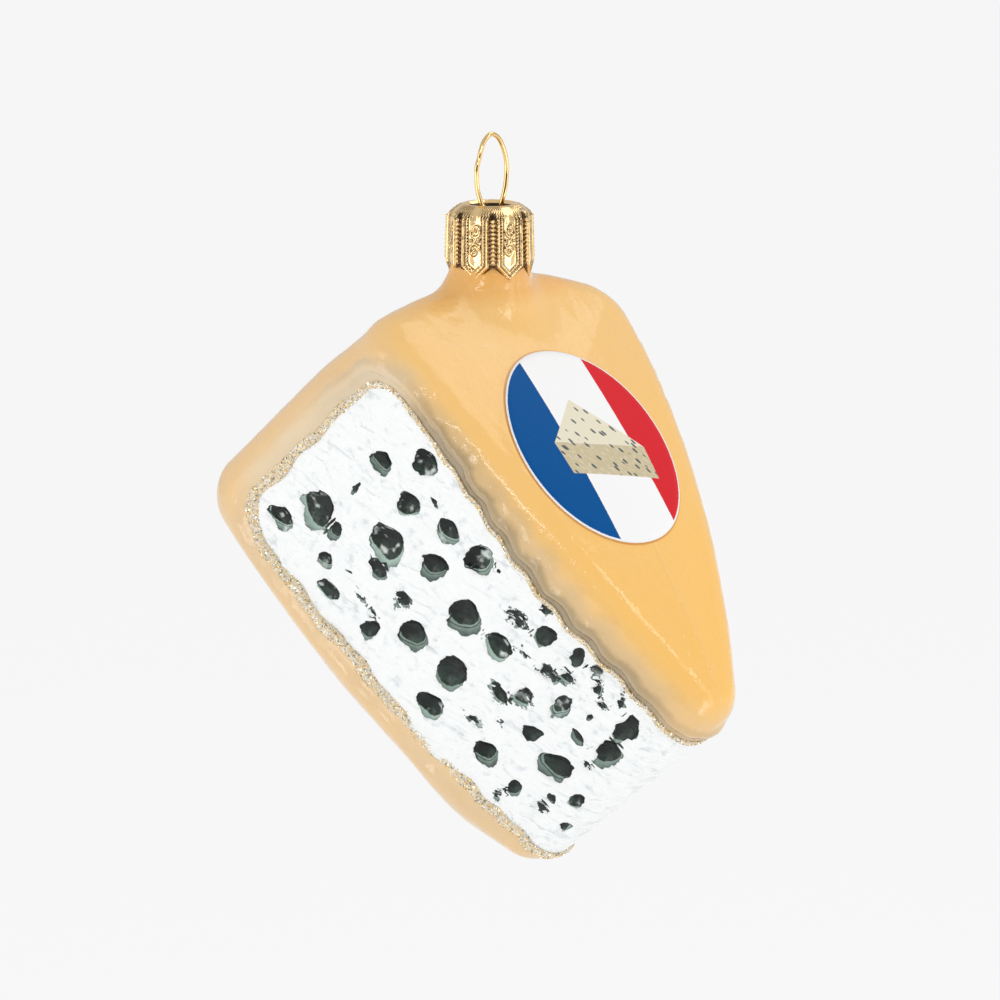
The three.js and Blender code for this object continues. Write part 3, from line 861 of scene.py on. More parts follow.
    def paint(self, sh: Shader, flat: object, s: object, r: object
              ) -> tuple[bpy.types.NodeSocket, bpy.types.NodeSocket, bpy.types.NodeSocket]:
        """White brushwork with dark glassy pits, which carry painted shade, a painted reflection and
        a painted glint: colour, pit mask and stroke height.
        """
        u, v, size = sh.parts(sh.attribute("pit_place").outputs["Vector"])
        pale, ragged, seed = sh.parts(sh.attribute("pit_tone").outputs["Vector"])
        close = sh.attribute("pit_edge").outputs["Fac"]
        swirl = sh.noise(flat, 0.13, 2.0)
        lean = sh.math("MULTIPLY_ADD", swirl, 9.0, sh.math("MULTIPLY", s, 0.26))
        tilt = sh.math("MULTIPLY_ADD", sh.noise(flat, 0.2, 1.0, offset=3.0), 3.0, r)
        brushed = sh.vector(lean, sh.math("MULTIPLY_ADD", s, -0.35, tilt))
        strokes = sh.noise(brushed, 1.0, 4.0, 0.6)
        patch = sh.band(sh.noise(flat, 0.16, 3.0, 0.6, offset=17.0), 0.42, 0.62)
        thin = sh.math("MULTIPLY", sh.band(strokes, 0.52, 0.68),
                       sh.math("MULTIPLY_ADD", patch, 0.42, 0.06))
        paint = sh.mix(thin, self.white, self.stroke)
        smear = sh.band(sh.noise(flat, 0.42, 3.0, 0.6, offset=61.0), 0.56, 0.74, 0.0, 0.42)
        paint = sh.mix(smear, paint, self.stroke)
        rho = sh.math("SQRT", sh.math("MULTIPLY_ADD", u, u, sh.math("MULTIPLY", v, v)))
        fray = sh.math("SUBTRACT", sh.noise(flat, 1.0, 3.0, 0.55, offset=5.0), 0.5)
        broad = sh.math("SUBTRACT", sh.noise(flat, 0.55, 1.0, 0.5, offset=23.0), 0.5)
        hairs = sh.math("SUBTRACT", sh.noise(brushed, 1.6, 2.0, 0.6, offset=31.0), 0.5)
        cut = sh.math("MULTIPLY", sh.math("SUBTRACT", 1.0, rho), size)
        cut = sh.math("MULTIPLY_ADD", broad, 1.3, cut)
        cut = sh.math("MULTIPLY_ADD", fray, sh.math("MULTIPLY_ADD", ragged, 3.4, 0.05), cut)
        cut = sh.math("MULTIPLY_ADD", hairs, sh.math("MULTIPLY_ADD", ragged, 1.2, 0.25), cut)
        pit = sh.math("MULTIPLY", sh.band(cut, 0.0, 0.06), sh.band(close, -0.6, -0.4))
        tone = self.pit_tone(sh, u, v, cut, fray, flat, pale, seed)
        nick = sh.noise(brushed, 1.3, 3.0, 0.6, offset=43.0)
        nick = sh.math("MULTIPLY", sh.band(nick, 0.60, 0.62), sh.band(ragged, 0.3, 0.7))
        tone = sh.mix(nick, tone, self.white)
        fleck = sh.band(sh.noise(brushed, 1.1, 4.0, 0.7, offset=57.0), 0.74, 0.76, 0.0, 0.8)
        paint = sh.mix(fleck, paint, self.pit_dark)
        return sh.mix(pit, paint, tone), pit, strokes

    def pit_tone(self, sh: Shader, u: object, v: object, cut: object, fray: object,
                 flat: object, pale: object, seed: object) -> bpy.types.NodeSocket:
        """Colour inside a pit: black-green well with painted shade on its upper side, a grey-green
        crescent that is a painted reflection, and a painted glint.

        Args:
            sh: the material under construction.
            u: place across the pit, 1 at its rim.
            v: place up the pit.
            cut: distance inside its painted edge, in mm.
            fray: small uneven noise.
            flat: unrolled position.
            pale: how strong the painted reflection crescent and glint are.
            seed: the pit's own number, 0 to 1.

        Returns:
            The colour.
        """
        shift = sh.math("MULTIPLY_ADD", seed, 0.18, 0.08)
        left = sh.math("POWER", sh.math("ADD", u, shift), 2.0)
        drop = sh.math("SQRT", sh.math("ADD", left, sh.math(
            "POWER", sh.math("SUBTRACT", v, shift), 2.0)))
        drop = sh.math("MULTIPLY_ADD", fray, 0.18, drop)
        # Painted shade: the well is darkest towards its upper side and lighter towards its lower
        # side.
        across = sh.math("SUBTRACT", u, v)
        well = sh.math("MULTIPLY", sh.band(across, -0.9, 0.9),
                       sh.band(sh.noise(flat, 0.9, 2.0, offset=83.0), 0.35, 0.65, 0.35, 1.0))
        tone = sh.mix(well, self.pit_dark, self.pit_mid)
        # Painted reflection: a pale grey-green crescent on the pit's lower side.
        bend = sh.math("MULTIPLY_ADD", seed, -0.24, 1.08)
        beyond = sh.math("SUBTRACT", drop, bend)
        crescent = sh.math("MULTIPLY", sh.band(beyond, -0.02, 0.03),
                           sh.math("POWER", pale, 0.5))
        crescent = sh.math("MULTIPLY", crescent, sh.band(beyond, 0.5, 0.02, 0.3, 1.0))
        tone = sh.mix(crescent, tone, self.pit_reflection_pale)
        line = sh.band(sh.math("ABSOLUTE", sh.math("ADD", beyond, -0.12)), 0.05, 0.01)
        line = sh.math("MULTIPLY", line, sh.band(seed, 0.7, 0.75))
        tone = sh.mix(sh.math("MULTIPLY", line, 0.7), tone, self.pit_dark)
        # Painted glint: a pale gleam laid in patches over the paler pits.
        glow = sh.noise(flat, 0.6, 2.0, 0.5, offset=71.0)
        gleam = sh.math("MULTIPLY", sh.band(glow, 0.54, 0.74), sh.band(pale, 0.3, 0.9))
        tone = sh.mix(gleam, tone, self.pit_gleam)
        # Painted shade: a dark band just inside the painted edge, strongest on the pit's upper side.
        edge = sh.math("MULTIPLY", sh.band(cut, 0.28, 0.16), sh.band(across, 0.7, -0.1, 0.2, 0.95))
        return sh.mix(edge, tone, self.pit_dark)


# ------------------------------------------------------------------------------ sticker


@dataclass(frozen=True)
class PrintedPaper:
    """Three plain printed bands on white paper, with a small generic wedge drawing."""

    blue: Colour = linear(0, 78, 146)
    red: Colour = linear(218, 34, 46)
    white: Colour = linear(250, 250, 250)
    cream: Colour = linear(236, 228, 204)
    shade: Colour = linear(206, 192, 158)
    ink: Colour = linear(48, 72, 88)

    def material(self, radius: float, oval: float, blue_edge: float, red_edge: float
                 ) -> bpy.types.Material:
        """Builds the paper.

        Args:
            radius: half the sticker's length, in mm.
            oval: its length over its width.
            blue_edge: where the blue band ends, in mm across from the centre.
            red_edge: where the red band starts.

        Returns:
            The material, which reads the print attribute.
        """
        sh = Shader("printed_paper")
        x, y, _ = sh.parts(sh.attribute("print").outputs["Vector"])
        flat = sh.vector(x, y)
        dots = sh.noise(flat, 5.0, 2.0)
        wobble = sh.math("MULTIPLY_ADD", sh.math("SUBTRACT", dots, 0.5), 0.18, 0.0)
        across = sh.math("SUBTRACT", x, wobble)
        weave = sh.node("ShaderNodeTexWave", {"Vector": flat, "Scale": 1.15, "Distortion": 1.5,
                                              "Detail": 2.0, "Detail Scale": 2.0},
                        bands_direction="DIAGONAL").outputs["Fac"]
        tint = sh.math("MULTIPLY", weave, 0.35)
        blue = sh.mix(tint, self.blue, linear(16, 108, 176))
        red = sh.mix(tint, self.red, linear(232, 66, 70))
        colour = sh.mix(sh.band(across, blue_edge - 0.05, blue_edge + 0.05), blue, self.white)
        colour = sh.mix(sh.band(across, red_edge - 0.05, red_edge + 0.05), colour, red)
        colour = self.wedge(sh, colour, x, y, dots)
        narrow = sh.math("MULTIPLY", x, oval)
        out = sh.math("SQRT", sh.math("MULTIPLY_ADD", narrow, narrow, sh.math("MULTIPLY", y, y)))
        rim = sh.band(sh.math("ADD", out, wobble), radius - 0.32, radius - 0.22)
        colour = sh.mix(rim, colour, self.white)
        grain = sh.noise(flat, 2.4, 4.0)
        return sh.surface(Base_Color=colour, Roughness=sh.band(grain, 0.3, 0.7, 0.3, 0.42),
                          Normal=sh.bump(grain, 0.00004, 0.5), Specular_IOR_Level=0.06)

    def wedge(self, sh: Shader, ground: object, x: object, y: object, dots: object
              ) -> bpy.types.NodeSocket:
        """Draws a plain wedge of cheese from two flat shapes and a scatter of flecks."""
        top = self.inside(sh, x, y, [(-7.2, 1.4), (8.6, -1.8), (-0.2, 7.4)])
        front = self.inside(sh, x, y, [(-7.2, 1.4), (-6.8, -3.6), (8.2, -6.9), (8.6, -1.8)])
        slant = sh.vector(sh.math("MULTIPLY_ADD", y, 0.5, x), sh.math("MULTIPLY", y, 0.55))
        mottle = sh.band(sh.noise(slant, 2.2, 2.0, offset=4.0), 0.45, 0.7, 0.0, 0.4)
        cells = sh.node("ShaderNodeTexVoronoi", {"Vector": slant, "Scale": 1.05,
                                                 "Randomness": 0.95}, feature="F1")
        mark = sh.band(sh.math("MULTIPLY_ADD", dots, 0.12, cells.outputs["Distance"]),
                       0.36, 0.30)
        colour = sh.mix(top, ground, self.cream)
        colour = sh.mix(front, colour, sh.mix(mottle, self.shade, self.cream))
        any_part = sh.math("MAXIMUM", top, front)
        return sh.mix(sh.math("MULTIPLY", mark, sh.math("MULTIPLY", any_part, 0.85)), colour,
                      self.ink)

    @staticmethod
    def inside(sh: Shader, x: object, y: object, corners: list[tuple[float, float]]
               ) -> bpy.types.NodeSocket:
        """1 inside a convex outline whose corners go anticlockwise, with a crisp edge."""
        least = None
        for (ax, ay), (bx, by) in zip(corners, corners[1:] + corners[:1]):
            long = math.hypot(bx - ax, by - ay)
            nx, ny = -(by - ay) / long, (bx - ax) / long
            gap = sh.math("MULTIPLY_ADD", x, nx, sh.math("MULTIPLY_ADD", y, ny,
                                                        -(nx * ax + ny * ay)))
            least = gap if least is None else sh.math("MINIMUM", least, gap)
        return sh.band(least, -0.04, 0.06)


@dataclass
class RoundSticker:
    """Paper disc laid on the domed face."""

    form: WedgeForm
    radius: float = 15.6
    oval: float = 1.135
    stretch: float = 1.07
    centre_p: float = -0.8
    centre_q: float = 57.2
    thickness: float = 0.14
    lift: float = 0.08
    blue_edge: float = -4.75
    red_edge: float = 6.7

    def build(self) -> bpy.types.Object:
        """Makes the disc with a soft cut edge."""
        sides, rows = 128, 14
        angles = np.linspace(0, 2 * math.pi, sides, endpoint=False)
        rings = [(self.radius * (i + 1) / rows, self.thickness) for i in range(rows)]
        rings[-1] = (self.radius - 0.05, self.thickness)
        rings += [(self.radius, self.thickness * 0.6), (self.radius, 0.0)]
        rings += [(self.radius * k, 0.0) for k in (0.66, 0.33)]
        flat = np.array([[k * math.cos(a) / self.oval, k * math.sin(a), lift]
                         for k, lift in rings for a in angles])
        flat = np.vstack([flat, [0, 0, self.thickness], [0, 0, 0]])
        points = self.form.on_face(flat[:, 0] + self.centre_p, flat[:, 1] + self.centre_q,
                                   flat[:, 2] + self.lift)
        faces = ring_faces(len(rings), sides)
        top, bottom = len(flat) - 2, len(flat) - 1
        last = (len(rings) - 1) * sides
        faces += [(top, k, (k + 1) % sides) for k in range(sides)]
        faces += [(bottom, last + (k + 1) % sides, last + k) for k in range(sides)]
        piece = new_mesh("round_sticker_paper", points, faces)
        store(piece, "print", flat * np.array([1, 1, 0]))
        material = PrintedPaper().material(self.radius, self.oval, self.blue_edge,
                                          self.red_edge)
        return finish_piece(piece, material, "sticker_paper", "round_sticker")


# ------------------------------------------------------------------------- sparkle border


@dataclass(frozen=True)
class GlitterFinish:
    """Pale gold glitter: mixed grain colours, mirror-bright."""

    gold: Colour = linear(250, 220, 160)
    silver: Colour = linear(246, 242, 234)
    green: Colour = linear(150, 152, 128)
    glue: Colour = linear(224, 210, 184)

    def grains(self) -> bpy.types.Material:
        """Material of the grains, coloured by their stored lot."""
        sh = Shader("glitter_grains")
        lot = sh.attribute("lot").outputs["Fac"]
        colour = sh.mix(sh.band(lot, 0.42, 0.5), self.gold, self.silver)
        colour = sh.mix(sh.band(lot, 0.86, 0.88), colour, self.green)
        return sh.surface(Base_Color=colour, Metallic=sh.band(lot, 0.2, 0.3, 0.25, 0.8),
                          Roughness=sh.band(lot, 0.0, 1.0, 0.14, 0.3))

    def bed(self) -> bpy.types.Material:
        """Material of the glue line that the grains sit in."""
        sh = Shader("glitter_bed")
        speck = sh.noise(sh.here(), 2600.0, 4.0)
        colour = sh.mix(sh.band(speck, 0.4, 0.7), self.glue, self.silver)
        return sh.surface(Base_Color=colour, Roughness=0.4,
                          Normal=sh.bump(speck, 0.0001, 0.8))


@dataclass
class SparkleBorder:
    """Line of glue round the panel, with glitter grains scattered over it."""

    form: WedgeForm
    half_width: float = 0.46
    height: float = 0.16
    grain: float = 0.125
    density_per_mm2: float = 22.0
    seed: int = 4

    def path(self) -> np.ndarray:
        """Closed route round the panel as (s, r, outward s, outward r) rows."""
        form = self.form
        angles = np.linspace(0, 2 * math.pi, 900, endpoint=False)
        rows = []
        for a in angles:
            reach_s, reach_r = math.cos(a), math.sin(a)
            low, high = 0.0, 90.0
            for _ in range(40):
                mid = (low + high) / 2
                here = form.panel_inside(np.array([mid * reach_s]),
                                         np.array([-0.8 + mid * reach_r]))[0]
                low, high = (mid, high) if here > -0.1 else (low, mid)
            rows.append((low * reach_s, -0.8 + low * reach_r))
        line = np.array(rows)
        steps = np.linalg.norm(np.roll(line, -1, 0) - line, axis=1)
        length = np.concatenate([[0], np.cumsum(steps)])
        even = np.linspace(0, length[-1], 620, endpoint=False)
        ring = np.vstack([line, line[:1]])
        line = np.stack([np.interp(even, length, ring[:, k]) for k in (0, 1)], 1)
        ahead = np.roll(line, -1, 0) - np.roll(line, 1, 0)
        ahead /= np.linalg.norm(ahead, axis=1, keepdims=True)
        return np.hstack([line, ahead[:, 1:2], -ahead[:, :1]])

    def on_side(self, s: np.ndarray, r: np.ndarray, lift: np.ndarray) -> np.ndarray:
        """Points on the glass at (s, r), lifted, in wedge axes."""
        point, normal = self.form.outline(s)
        rim = np.maximum(0, np.abs(r) - (self.form.thickness / 2 - self.form.rim_radius))
        curve = self.form.rim_radius - np.sqrt(self.form.rim_radius**2 - rim**2)
        inset = self.form.recess(s, r) + curve - lift
        pq = point - normal * inset[:, None]
        return np.stack([pq[:, 0], pq[:, 1], r * self.form.thinning(pq[:, 1])], 1)

    def build(self) -> bpy.types.Object:
        """Makes the glue line, then scatters the grains on it."""
        route = self.path()
        wide = 1 + 0.2 * np.sin(route[:, 0] * 0.9) * np.sin(route[:, 1] * 0.7 + 1)
        wide *= 1 + 0.55 * smoothstep(6.0, -12.0, route[:, 1])
        wide *= 1 + 0.1 * smoothstep(58.0, 66.0, np.abs(route[:, 0]))
        across = [(-1, -0.5), (-1, 0.1), (-0.55, 0.75), (0, 1), (0.55, 0.75), (1, 0.1), (1, -0.5)]
        rows = []
        for w, h in across:
            s = route[:, 0] + route[:, 2] * w * self.half_width * wide
            r = route[:, 1] + route[:, 3] * w * self.half_width * wide
            rows.append(self.form.to_row(self.on_side(s, r, np.full(len(s), h * self.height))))
        points = np.stack(rows, 1).reshape(-1, 3)
        faces = ring_faces(len(route), len(across), closed=True)
        bed = new_mesh("sparkle_border_glue", points, faces)
        bed.data.materials.append(GlitterFinish().bed())
        grains = scatter_grains(bed, "sparkle_border_grains", self.density_per_mm2,
                                self.grain, self.seed, GlitterFinish().grains())
        finish_piece(bed, None, "sparkle", "sparkle_border")
        return finish_piece(grains, None, "sparkle", "sparkle_border")


def add_node(tree: bpy.types.NodeTree, kind: str, inputs: dict | None = None,
             **settings: object) -> bpy.types.Node:
    """Adds a node to a group.

    Args:
        tree: the group.
        kind: the node's type name.
        inputs: value or socket for each input, by name or number.
        settings: properties of the node itself, set first.

    Returns:
        The node.
    """
    made = tree.nodes.new(kind)
    for key, value in settings.items():
        setattr(made, key, value)
    for key, value in (inputs or {}).items():
        if isinstance(value, bpy.types.NodeSocket):
            tree.links.new(value, made.inputs[key])
        else:
            made.inputs[key].default_value = value
    return made


def dress_output(tree: bpy.types.NodeTree, geometry: bpy.types.NodeSocket,
                 material: bpy.types.NodeSocket, smooth: bool = False) -> None:
    """Makes instances real, gives them their material and ends the group."""
    made = add_node(tree, "GeometryNodeRealizeInstances", {"Geometry": geometry})
    if smooth:
        made = add_node(tree, "GeometryNodeSetShadeSmooth", {"Geometry": made.outputs[0]})
    dress = add_node(tree, "GeometryNodeSetMaterial",
                     {"Geometry": made.outputs[0], "Material": material})
    add_node(tree, "NodeGroupOutput", {0: dress.outputs[0]})


def node_input(tree: bpy.types.NodeTree, name: str, kind: str, value: object = None) -> str:
    """Adds a named input to a node group and returns its identifier."""
    made = tree.interface.new_socket(name=name, in_out="INPUT", socket_type=kind)
    if value is not None:
        made.default_value = value
    return made.identifier


def bake_nodes(source: bpy.types.Object, name: str, tree: bpy.types.NodeTree,
               settings: dict[str, object]) -> bpy.types.Object:
    """Runs a node group over a mesh and keeps only its plain result.

    Args:
        source: the mesh that the group reads, left as it is.
        name: the new piece's name.
        tree: the group.
        settings: value for each input, by socket identifier.

    Returns:
        The new mesh object.
    """
    worker = bpy.data.objects.new(name + "_worker", source.data.copy())
    bpy.context.scene.collection.objects.link(worker)
    modifier = worker.modifiers.new("nodes", "NODES")
    modifier.node_group = tree
    for key, value in settings.items():
        modifier[key] = value
    graph = bpy.context.evaluated_depsgraph_get()
    mesh = bpy.data.meshes.new_from_object(worker.evaluated_get(graph), depsgraph=graph)
    worker.modifiers.remove(modifier)
    bpy.data.objects.remove(worker)
    mesh.name = name
    piece = bpy.data.objects.new(name, mesh)
    bpy.context.scene.collection.objects.link(piece)
    return piece


def scatter_grains(source: bpy.types.Object, name: str, density_mm2: float, radius: float,
                   seed: int, material: bpy.types.Material) -> bpy.types.Object:
    """Scatters flat six-sided grains over a mesh.

    Args:
        source: mesh to cover.
        name: the new piece's name.
        density_mm2: grains a square millimetre.
        radius: grain radius in mm.
        seed: seed of the grains' places.
        material: the grains' material.

    Returns:
        The grains as one mesh.
    """
    tree = bpy.data.node_groups.new("glitter_scatter", "GeometryNodeTree")
    keys = {
        "mesh": node_input(tree, "Mesh", "NodeSocketGeometry"),
        "density": node_input(tree, "Density", "NodeSocketFloat", 1.0),
        "radius": node_input(tree, "Grain Radius", "NodeSocketFloat", 0.0002),
        "seed": node_input(tree, "Seed", "NodeSocketInt", 0),
        "material": node_input(tree, "Material", "NodeSocketMaterial"),
    }
    tree.interface.new_socket(name="Mesh", in_out="OUTPUT", socket_type="NodeSocketGeometry")
    given = tree.nodes.new("NodeGroupInput").outputs
    spread = add_node(tree, "GeometryNodeDistributePointsOnFaces",
                      {key: given[key] for key in ("Mesh", "Density", "Seed")})
    thin = add_node(tree, "ShaderNodeMath", {0: given["Grain Radius"], 1: 0.5},
                    operation="MULTIPLY")
    flake = add_node(tree, "GeometryNodeMeshCylinder", {
        "Vertices": 6, "Radius": given["Grain Radius"], "Depth": thin.outputs[0]})

    def random(kind: str, low: object, high: object, lot: int) -> bpy.types.NodeSocket:
        """Value between low and high drawn for each grain; lot keeps the draws apart."""
        slot = {"FLOAT_VECTOR": 0, "FLOAT": 1}[kind]
        made = add_node(tree, "FunctionNodeRandomValue",
                        {2 * slot: low, 2 * slot + 1: high, "Seed": lot}, data_type=kind)
        return made.outputs[slot]

    place = add_node(tree, "GeometryNodeInstanceOnPoints", {
        "Points": spread.outputs["Points"], "Instance": flake.outputs["Mesh"],
        "Rotation": random("FLOAT_VECTOR", (-3.1,) * 3, (3.1,) * 3, 1),
        "Scale": random("FLOAT", 0.55, 1.35, 2)})
    mark = add_node(tree, "GeometryNodeStoreNamedAttribute", {
        "Geometry": place.outputs["Instances"], "Name": "lot",
        "Value": random("FLOAT", 0.0, 1.0, 3)}, data_type="FLOAT", domain="INSTANCE")
    dress_output(tree, mark.outputs["Geometry"], given["Material"])
    return bake_nodes(source, name, tree, {
        keys["density"]: density_mm2 / MM**2, keys["radius"]: radius * MM,
        keys["seed"]: seed, keys["material"]: material})


def pearl_beads(source: bpy.types.Object, name: str, material: bpy.types.Material
                ) -> bpy.types.Object:
    """Sets a small ball on every vertex of a mesh, scaled by its stored size.

    Args:
        source: the vertices, with a size attribute in metres.
        name: the new piece's name.
        material: the balls' material.

    Returns:
        The balls as one mesh.
    """
    tree = bpy.data.node_groups.new("pearl_beads", "GeometryNodeTree")
    node_input(tree, "Mesh", "NodeSocketGeometry")
    gold = node_input(tree, "Material", "NodeSocketMaterial")
    tree.interface.new_socket(name="Mesh", in_out="OUTPUT", socket_type="NodeSocketGeometry")
    given = tree.nodes.new("NodeGroupInput").outputs
    ball = add_node(tree, "GeometryNodeMeshUVSphere", {"Segments": 14, "Rings": 9, "Radius": 1.0})
    size = add_node(tree, "GeometryNodeInputNamedAttribute", {"Name": "size"})
    place = add_node(tree, "GeometryNodeInstanceOnPoints", {
        "Points": given["Mesh"], "Instance": ball.outputs["Mesh"],
        "Scale": size.outputs["Attribute"]})
    dress_output(tree, place.outputs["Instances"], given["Material"], smooth=True)
    return bake_nodes(source, name, tree, {gold: material})


# ------------------------------------------------------------------------- cap and wire


@dataclass(frozen=True)
class GoldFinish:
    """Bright gold-coloured metal, darkened in its hollows as painted shade, with patches of wear."""

    name: str
    bright: Colour = linear(255, 219, 160)
    deep: Colour = linear(44, 22, 8)
    roughness: float = 0.05
    dent: float = 0.00006

    def material(self) -> bpy.types.Material:
        """Builds the metal; a stored hollow attribute darkens what is low, as painted shade."""
        sh = Shader(self.name)
        hollow = sh.attribute("hollow").outputs["Fac"]
        here = sh.here()
        wear = sh.noise(here, 700.0, 2.0)
        # Painted shade: what is hollow is darkened almost to the deep brown.
        colour = sh.mix(sh.math("MULTIPLY", hollow, 0.97), self.bright, self.deep)
        colour = sh.mix(sh.band(wear, 0.5, 0.8, 0.0, 0.25), colour, self.deep)
        rough = sh.band(wear, 0.3, 0.7, self.roughness, self.roughness + 0.08)
        normal = sh.bump(sh.noise(here, 750.0, 1.0), self.dent, 1.0)
        normal = sh.bump(sh.noise(here, 2600.0, 2.0), 0.4 * self.dent, 0.8, normal)
        return sh.surface(Base_Color=colour, Metallic=1.0, Roughness=rough, Normal=normal)


@dataclass
class CrownCap:
    """Pressed crown: facets with raised frames, beads and scrolls, pointed at the bottom."""

    petals: int = 7
    turn: float = math.radians(-107.4)
    top: float = -10.2
    notch: float = 2.0
    radius: float = 5.7
    columns: int = 62
    rows: int = 96
    bead: float = 0.26
    bead_step: float = 0.56
    facet_share: float = 0.975
    sheet: float = 0.32
    crest_bend: int = 4
    shoulder_bend: int = 7
    profile: np.ndarray = field(default_factory=lambda: np.array([
        [0.01, -0.3], [2.7, -0.2], [3.2, 0.65], [3.65, 1.05], [4.2, 0.85], [4.85, 0.4],
        [5.4, -0.12], [5.6, -0.75], [5.68, -3.4], [5.75, -6.4], [5.7, -7.1], [5.42, -9.1]]))

    def lengths(self) -> np.ndarray:
        """Distance along the sheet from the cap's centre to each bend of the profile."""
        steps = np.linalg.norm(np.diff(self.profile, axis=0), axis=1)
        return np.concatenate([[0], np.cumsum(steps)])

    def beads(self) -> bpy.types.Object:
        """Rows of pearls between the petals and along their points, as one piece."""
        lengths = self.lengths()
        shoulder = lengths[self.shoulder_bend]
        outward = self.facet_share / math.cos(math.pi / self.petals)
        places, sizes = [], []

        def drop(angle: float, reach: float, spread: float, size: float) -> None:
            """Sets one pearl at an angle and a distance along the sheet."""
            radius = np.interp(reach, lengths, self.profile[:, 0]) * spread - 0.05
            z = self.top + np.interp(reach, lengths, self.profile[:, 1])
            places.append((radius * math.cos(angle), radius * math.sin(angle), z))
            sizes.append(size)

        for petal in range(self.petals):
            middle = self.turn + 2 * math.pi * petal / self.petals
            between = middle + math.pi / self.petals
            count = int((lengths[-1] - self.notch - shoulder) / self.bead_step)
            for i in range(count):
                drop(between, shoulder + 0.1 + i * self.bead_step, outward, self.bead)
            for i in range(4):
                for side in (-1, 1):
                    across = side * (0.35 + 0.42 * i)
                    reach = lengths[-1] - 0.5 - 0.44 * i
                    drop(middle + across / self.radius, reach, 1.0, self.bead * 0.72)
        seeds = new_mesh("bead_seeds", np.array(places), [])
        store(seeds, "size", np.array(sizes) * MM)
        piece = pearl_beads(seeds, "crown_cap_beads", GoldFinish("bead_gold").material())
        bpy.data.objects.remove(seeds)
        return finish_piece(piece, None, "pressed_cap", "crown_cap")

    def build(self) -> bpy.types.Object:
        """Makes the pressed sheet."""
        count = self.petals * self.columns
        index = np.arange(count)
        angle = self.turn + 2 * math.pi * index / count
        local = ((index + self.columns // 2) % self.columns - self.columns // 2) / self.columns
        pitch = 2 * math.pi * self.radius / self.petals
        x = local * pitch
        edge = np.abs(local) * 2
        profile = self.profile
        lengths = self.lengths()
        total, shoulder = lengths[-1], lengths[self.shoulder_bend]
        cut = self.notch * edge
        rings, hollows = [], []
        for k in np.linspace(0, 1, self.rows) ** 0.9:
            reach = (total - cut * smoothstep(0.55, 1.0, np.full(count, k))) * k
            radius = np.interp(reach, lengths, profile[:, 0])
            z = self.top + np.interp(reach, lengths, profile[:, 1])
            height, low = self.pressing(x, reach - shoulder, total - shoulder, edge, reach)
            facet = 1.0 / np.cos(local * 2 * math.pi / self.petals)
            flat = smoothstep(lengths[self.crest_bend], shoulder, reach)
            mix = 1 + (facet * self.facet_share - 1) * flat
            rings.append(np.stack([(radius * mix + height) * np.cos(angle),
                                   (radius * mix + height) * np.sin(angle), z], 1))
            hollows.append(low)
        outer = np.array(rings)
        inner = []
        for k in np.linspace(1, 0.0, 24) ** 0.9:
            reach = (total - cut * smoothstep(0.55, 1.0, np.full(count, k))) * k
            radius = np.maximum(np.interp(reach, lengths, profile[:, 0]) - self.sheet, 0.01)
            z = self.top + np.interp(reach, lengths, profile[:, 1]) - 0.22 * (reach < 7)
            inner.append(np.stack([radius * np.cos(angle), radius * np.sin(angle), z], 1))
        points = np.concatenate([outer.reshape(-1, 3), np.array(inner).reshape(-1, 3)])
        total_rings = len(outer) + len(inner)
        faces = [tuple(reversed(f)) for f in ring_faces(total_rings, count)]
        last = (total_rings - 1) * count
        faces.append(tuple(range(count)))
        faces.append(tuple(last + k for k in reversed(range(count))))
        piece = new_mesh("crown_cap_pressed", points, faces)
        # The hidden inside of the sheet counts as fully hollow, so it is painted dark as shade.
        low = np.concatenate([np.concatenate(hollows), np.ones(len(inner) * count)])
        store(piece, "hollow", low)
        return finish_piece(piece, GoldFinish("pressed_gold").material(), "pressed_cap",
                            "crown_cap")

    def pressing(self, x: np.ndarray, down: np.ndarray, long: float, edge: np.ndarray,
                 reach: np.ndarray) -> tuple[np.ndarray, np.ndarray]:
        """Relief of one petal.

        Args:
            x: distance across the petal from its middle, in mm.
            down: distance down the petal from its shoulder.
            long: length from the shoulder to the tip.
            edge: 0 at the petal's middle, 1 midway to the next.
            reach: distance from the cap's centre along the sheet.

        Returns:
            Height of the relief in mm, and how hollow the place is, 0 to 1, which the metal darkens
            as painted shade.
        """
        half = 1.9
        point = 2.0
        tip_gap = (long - down) - np.abs(x) * point / half * 0.95
        inside = np.minimum(half - np.abs(x), tip_gap * 0.68)
        started = smoothstep(-0.9, 0.0, down)
        frame_line = np.exp(-(((inside - 0.2) / 0.15) ** 4))
        beads = np.exp(-(((inside - 0.66) / 0.14) ** 2)) * (0.5 + 0.5 * np.cos(
            2 * math.pi * down / 0.44))
        groove = np.exp(-(((inside - 0.44) / 0.1) ** 2)) + np.exp(-(((inside - 0.92) / 0.08) ** 2))
        scroll = self.scroll(x, down)
        channel = smoothstep(0.05, -0.15, inside)
        across = (1 - edge) * math.pi * self.radius / self.petals
        column = np.exp(-((across / 0.42) ** 2))
        pearl = np.cos(2 * math.pi * down / 0.6)
        bead_column = 0.3 * column * smoothstep(-0.5, 0.5, pearl) * (down < long - 2.0)
        dimple = smoothstep(0.75, 0.95, edge) * np.exp(-(((down + 0.75) / 0.4) ** 2))
        grit = np.cos(reach * 17.0) * np.cos(x * 16.0 + 2.0 * np.sin(reach * 9.0))
        shoulder = smoothstep(4.3, 4.8, reach) * smoothstep(0.1, -0.3, down)
        shoulder *= smoothstep(0.1, 0.5, edge)
        height = (started * (0.28 * frame_line + 0.18 * beads + 0.24 * scroll
                             - 0.14 * channel - 0.06 * groove)
                  + 0.26 * bead_column + 0.12 * grit * shoulder - 0.25 * dimple
                  - 0.1 * started * smoothstep(0.9, 1.9, inside))
        low = np.clip(started * (0.9 * groove + 0.95 * channel * (1 - bead_column / 0.9)
                                 + 0.95 * np.exp(-(((scroll - 0.4) / 0.24) ** 2)))
                      + 0.9 * shoulder * smoothstep(0.3, -0.5, grit) + dimple, 0, 1)
        return height, low

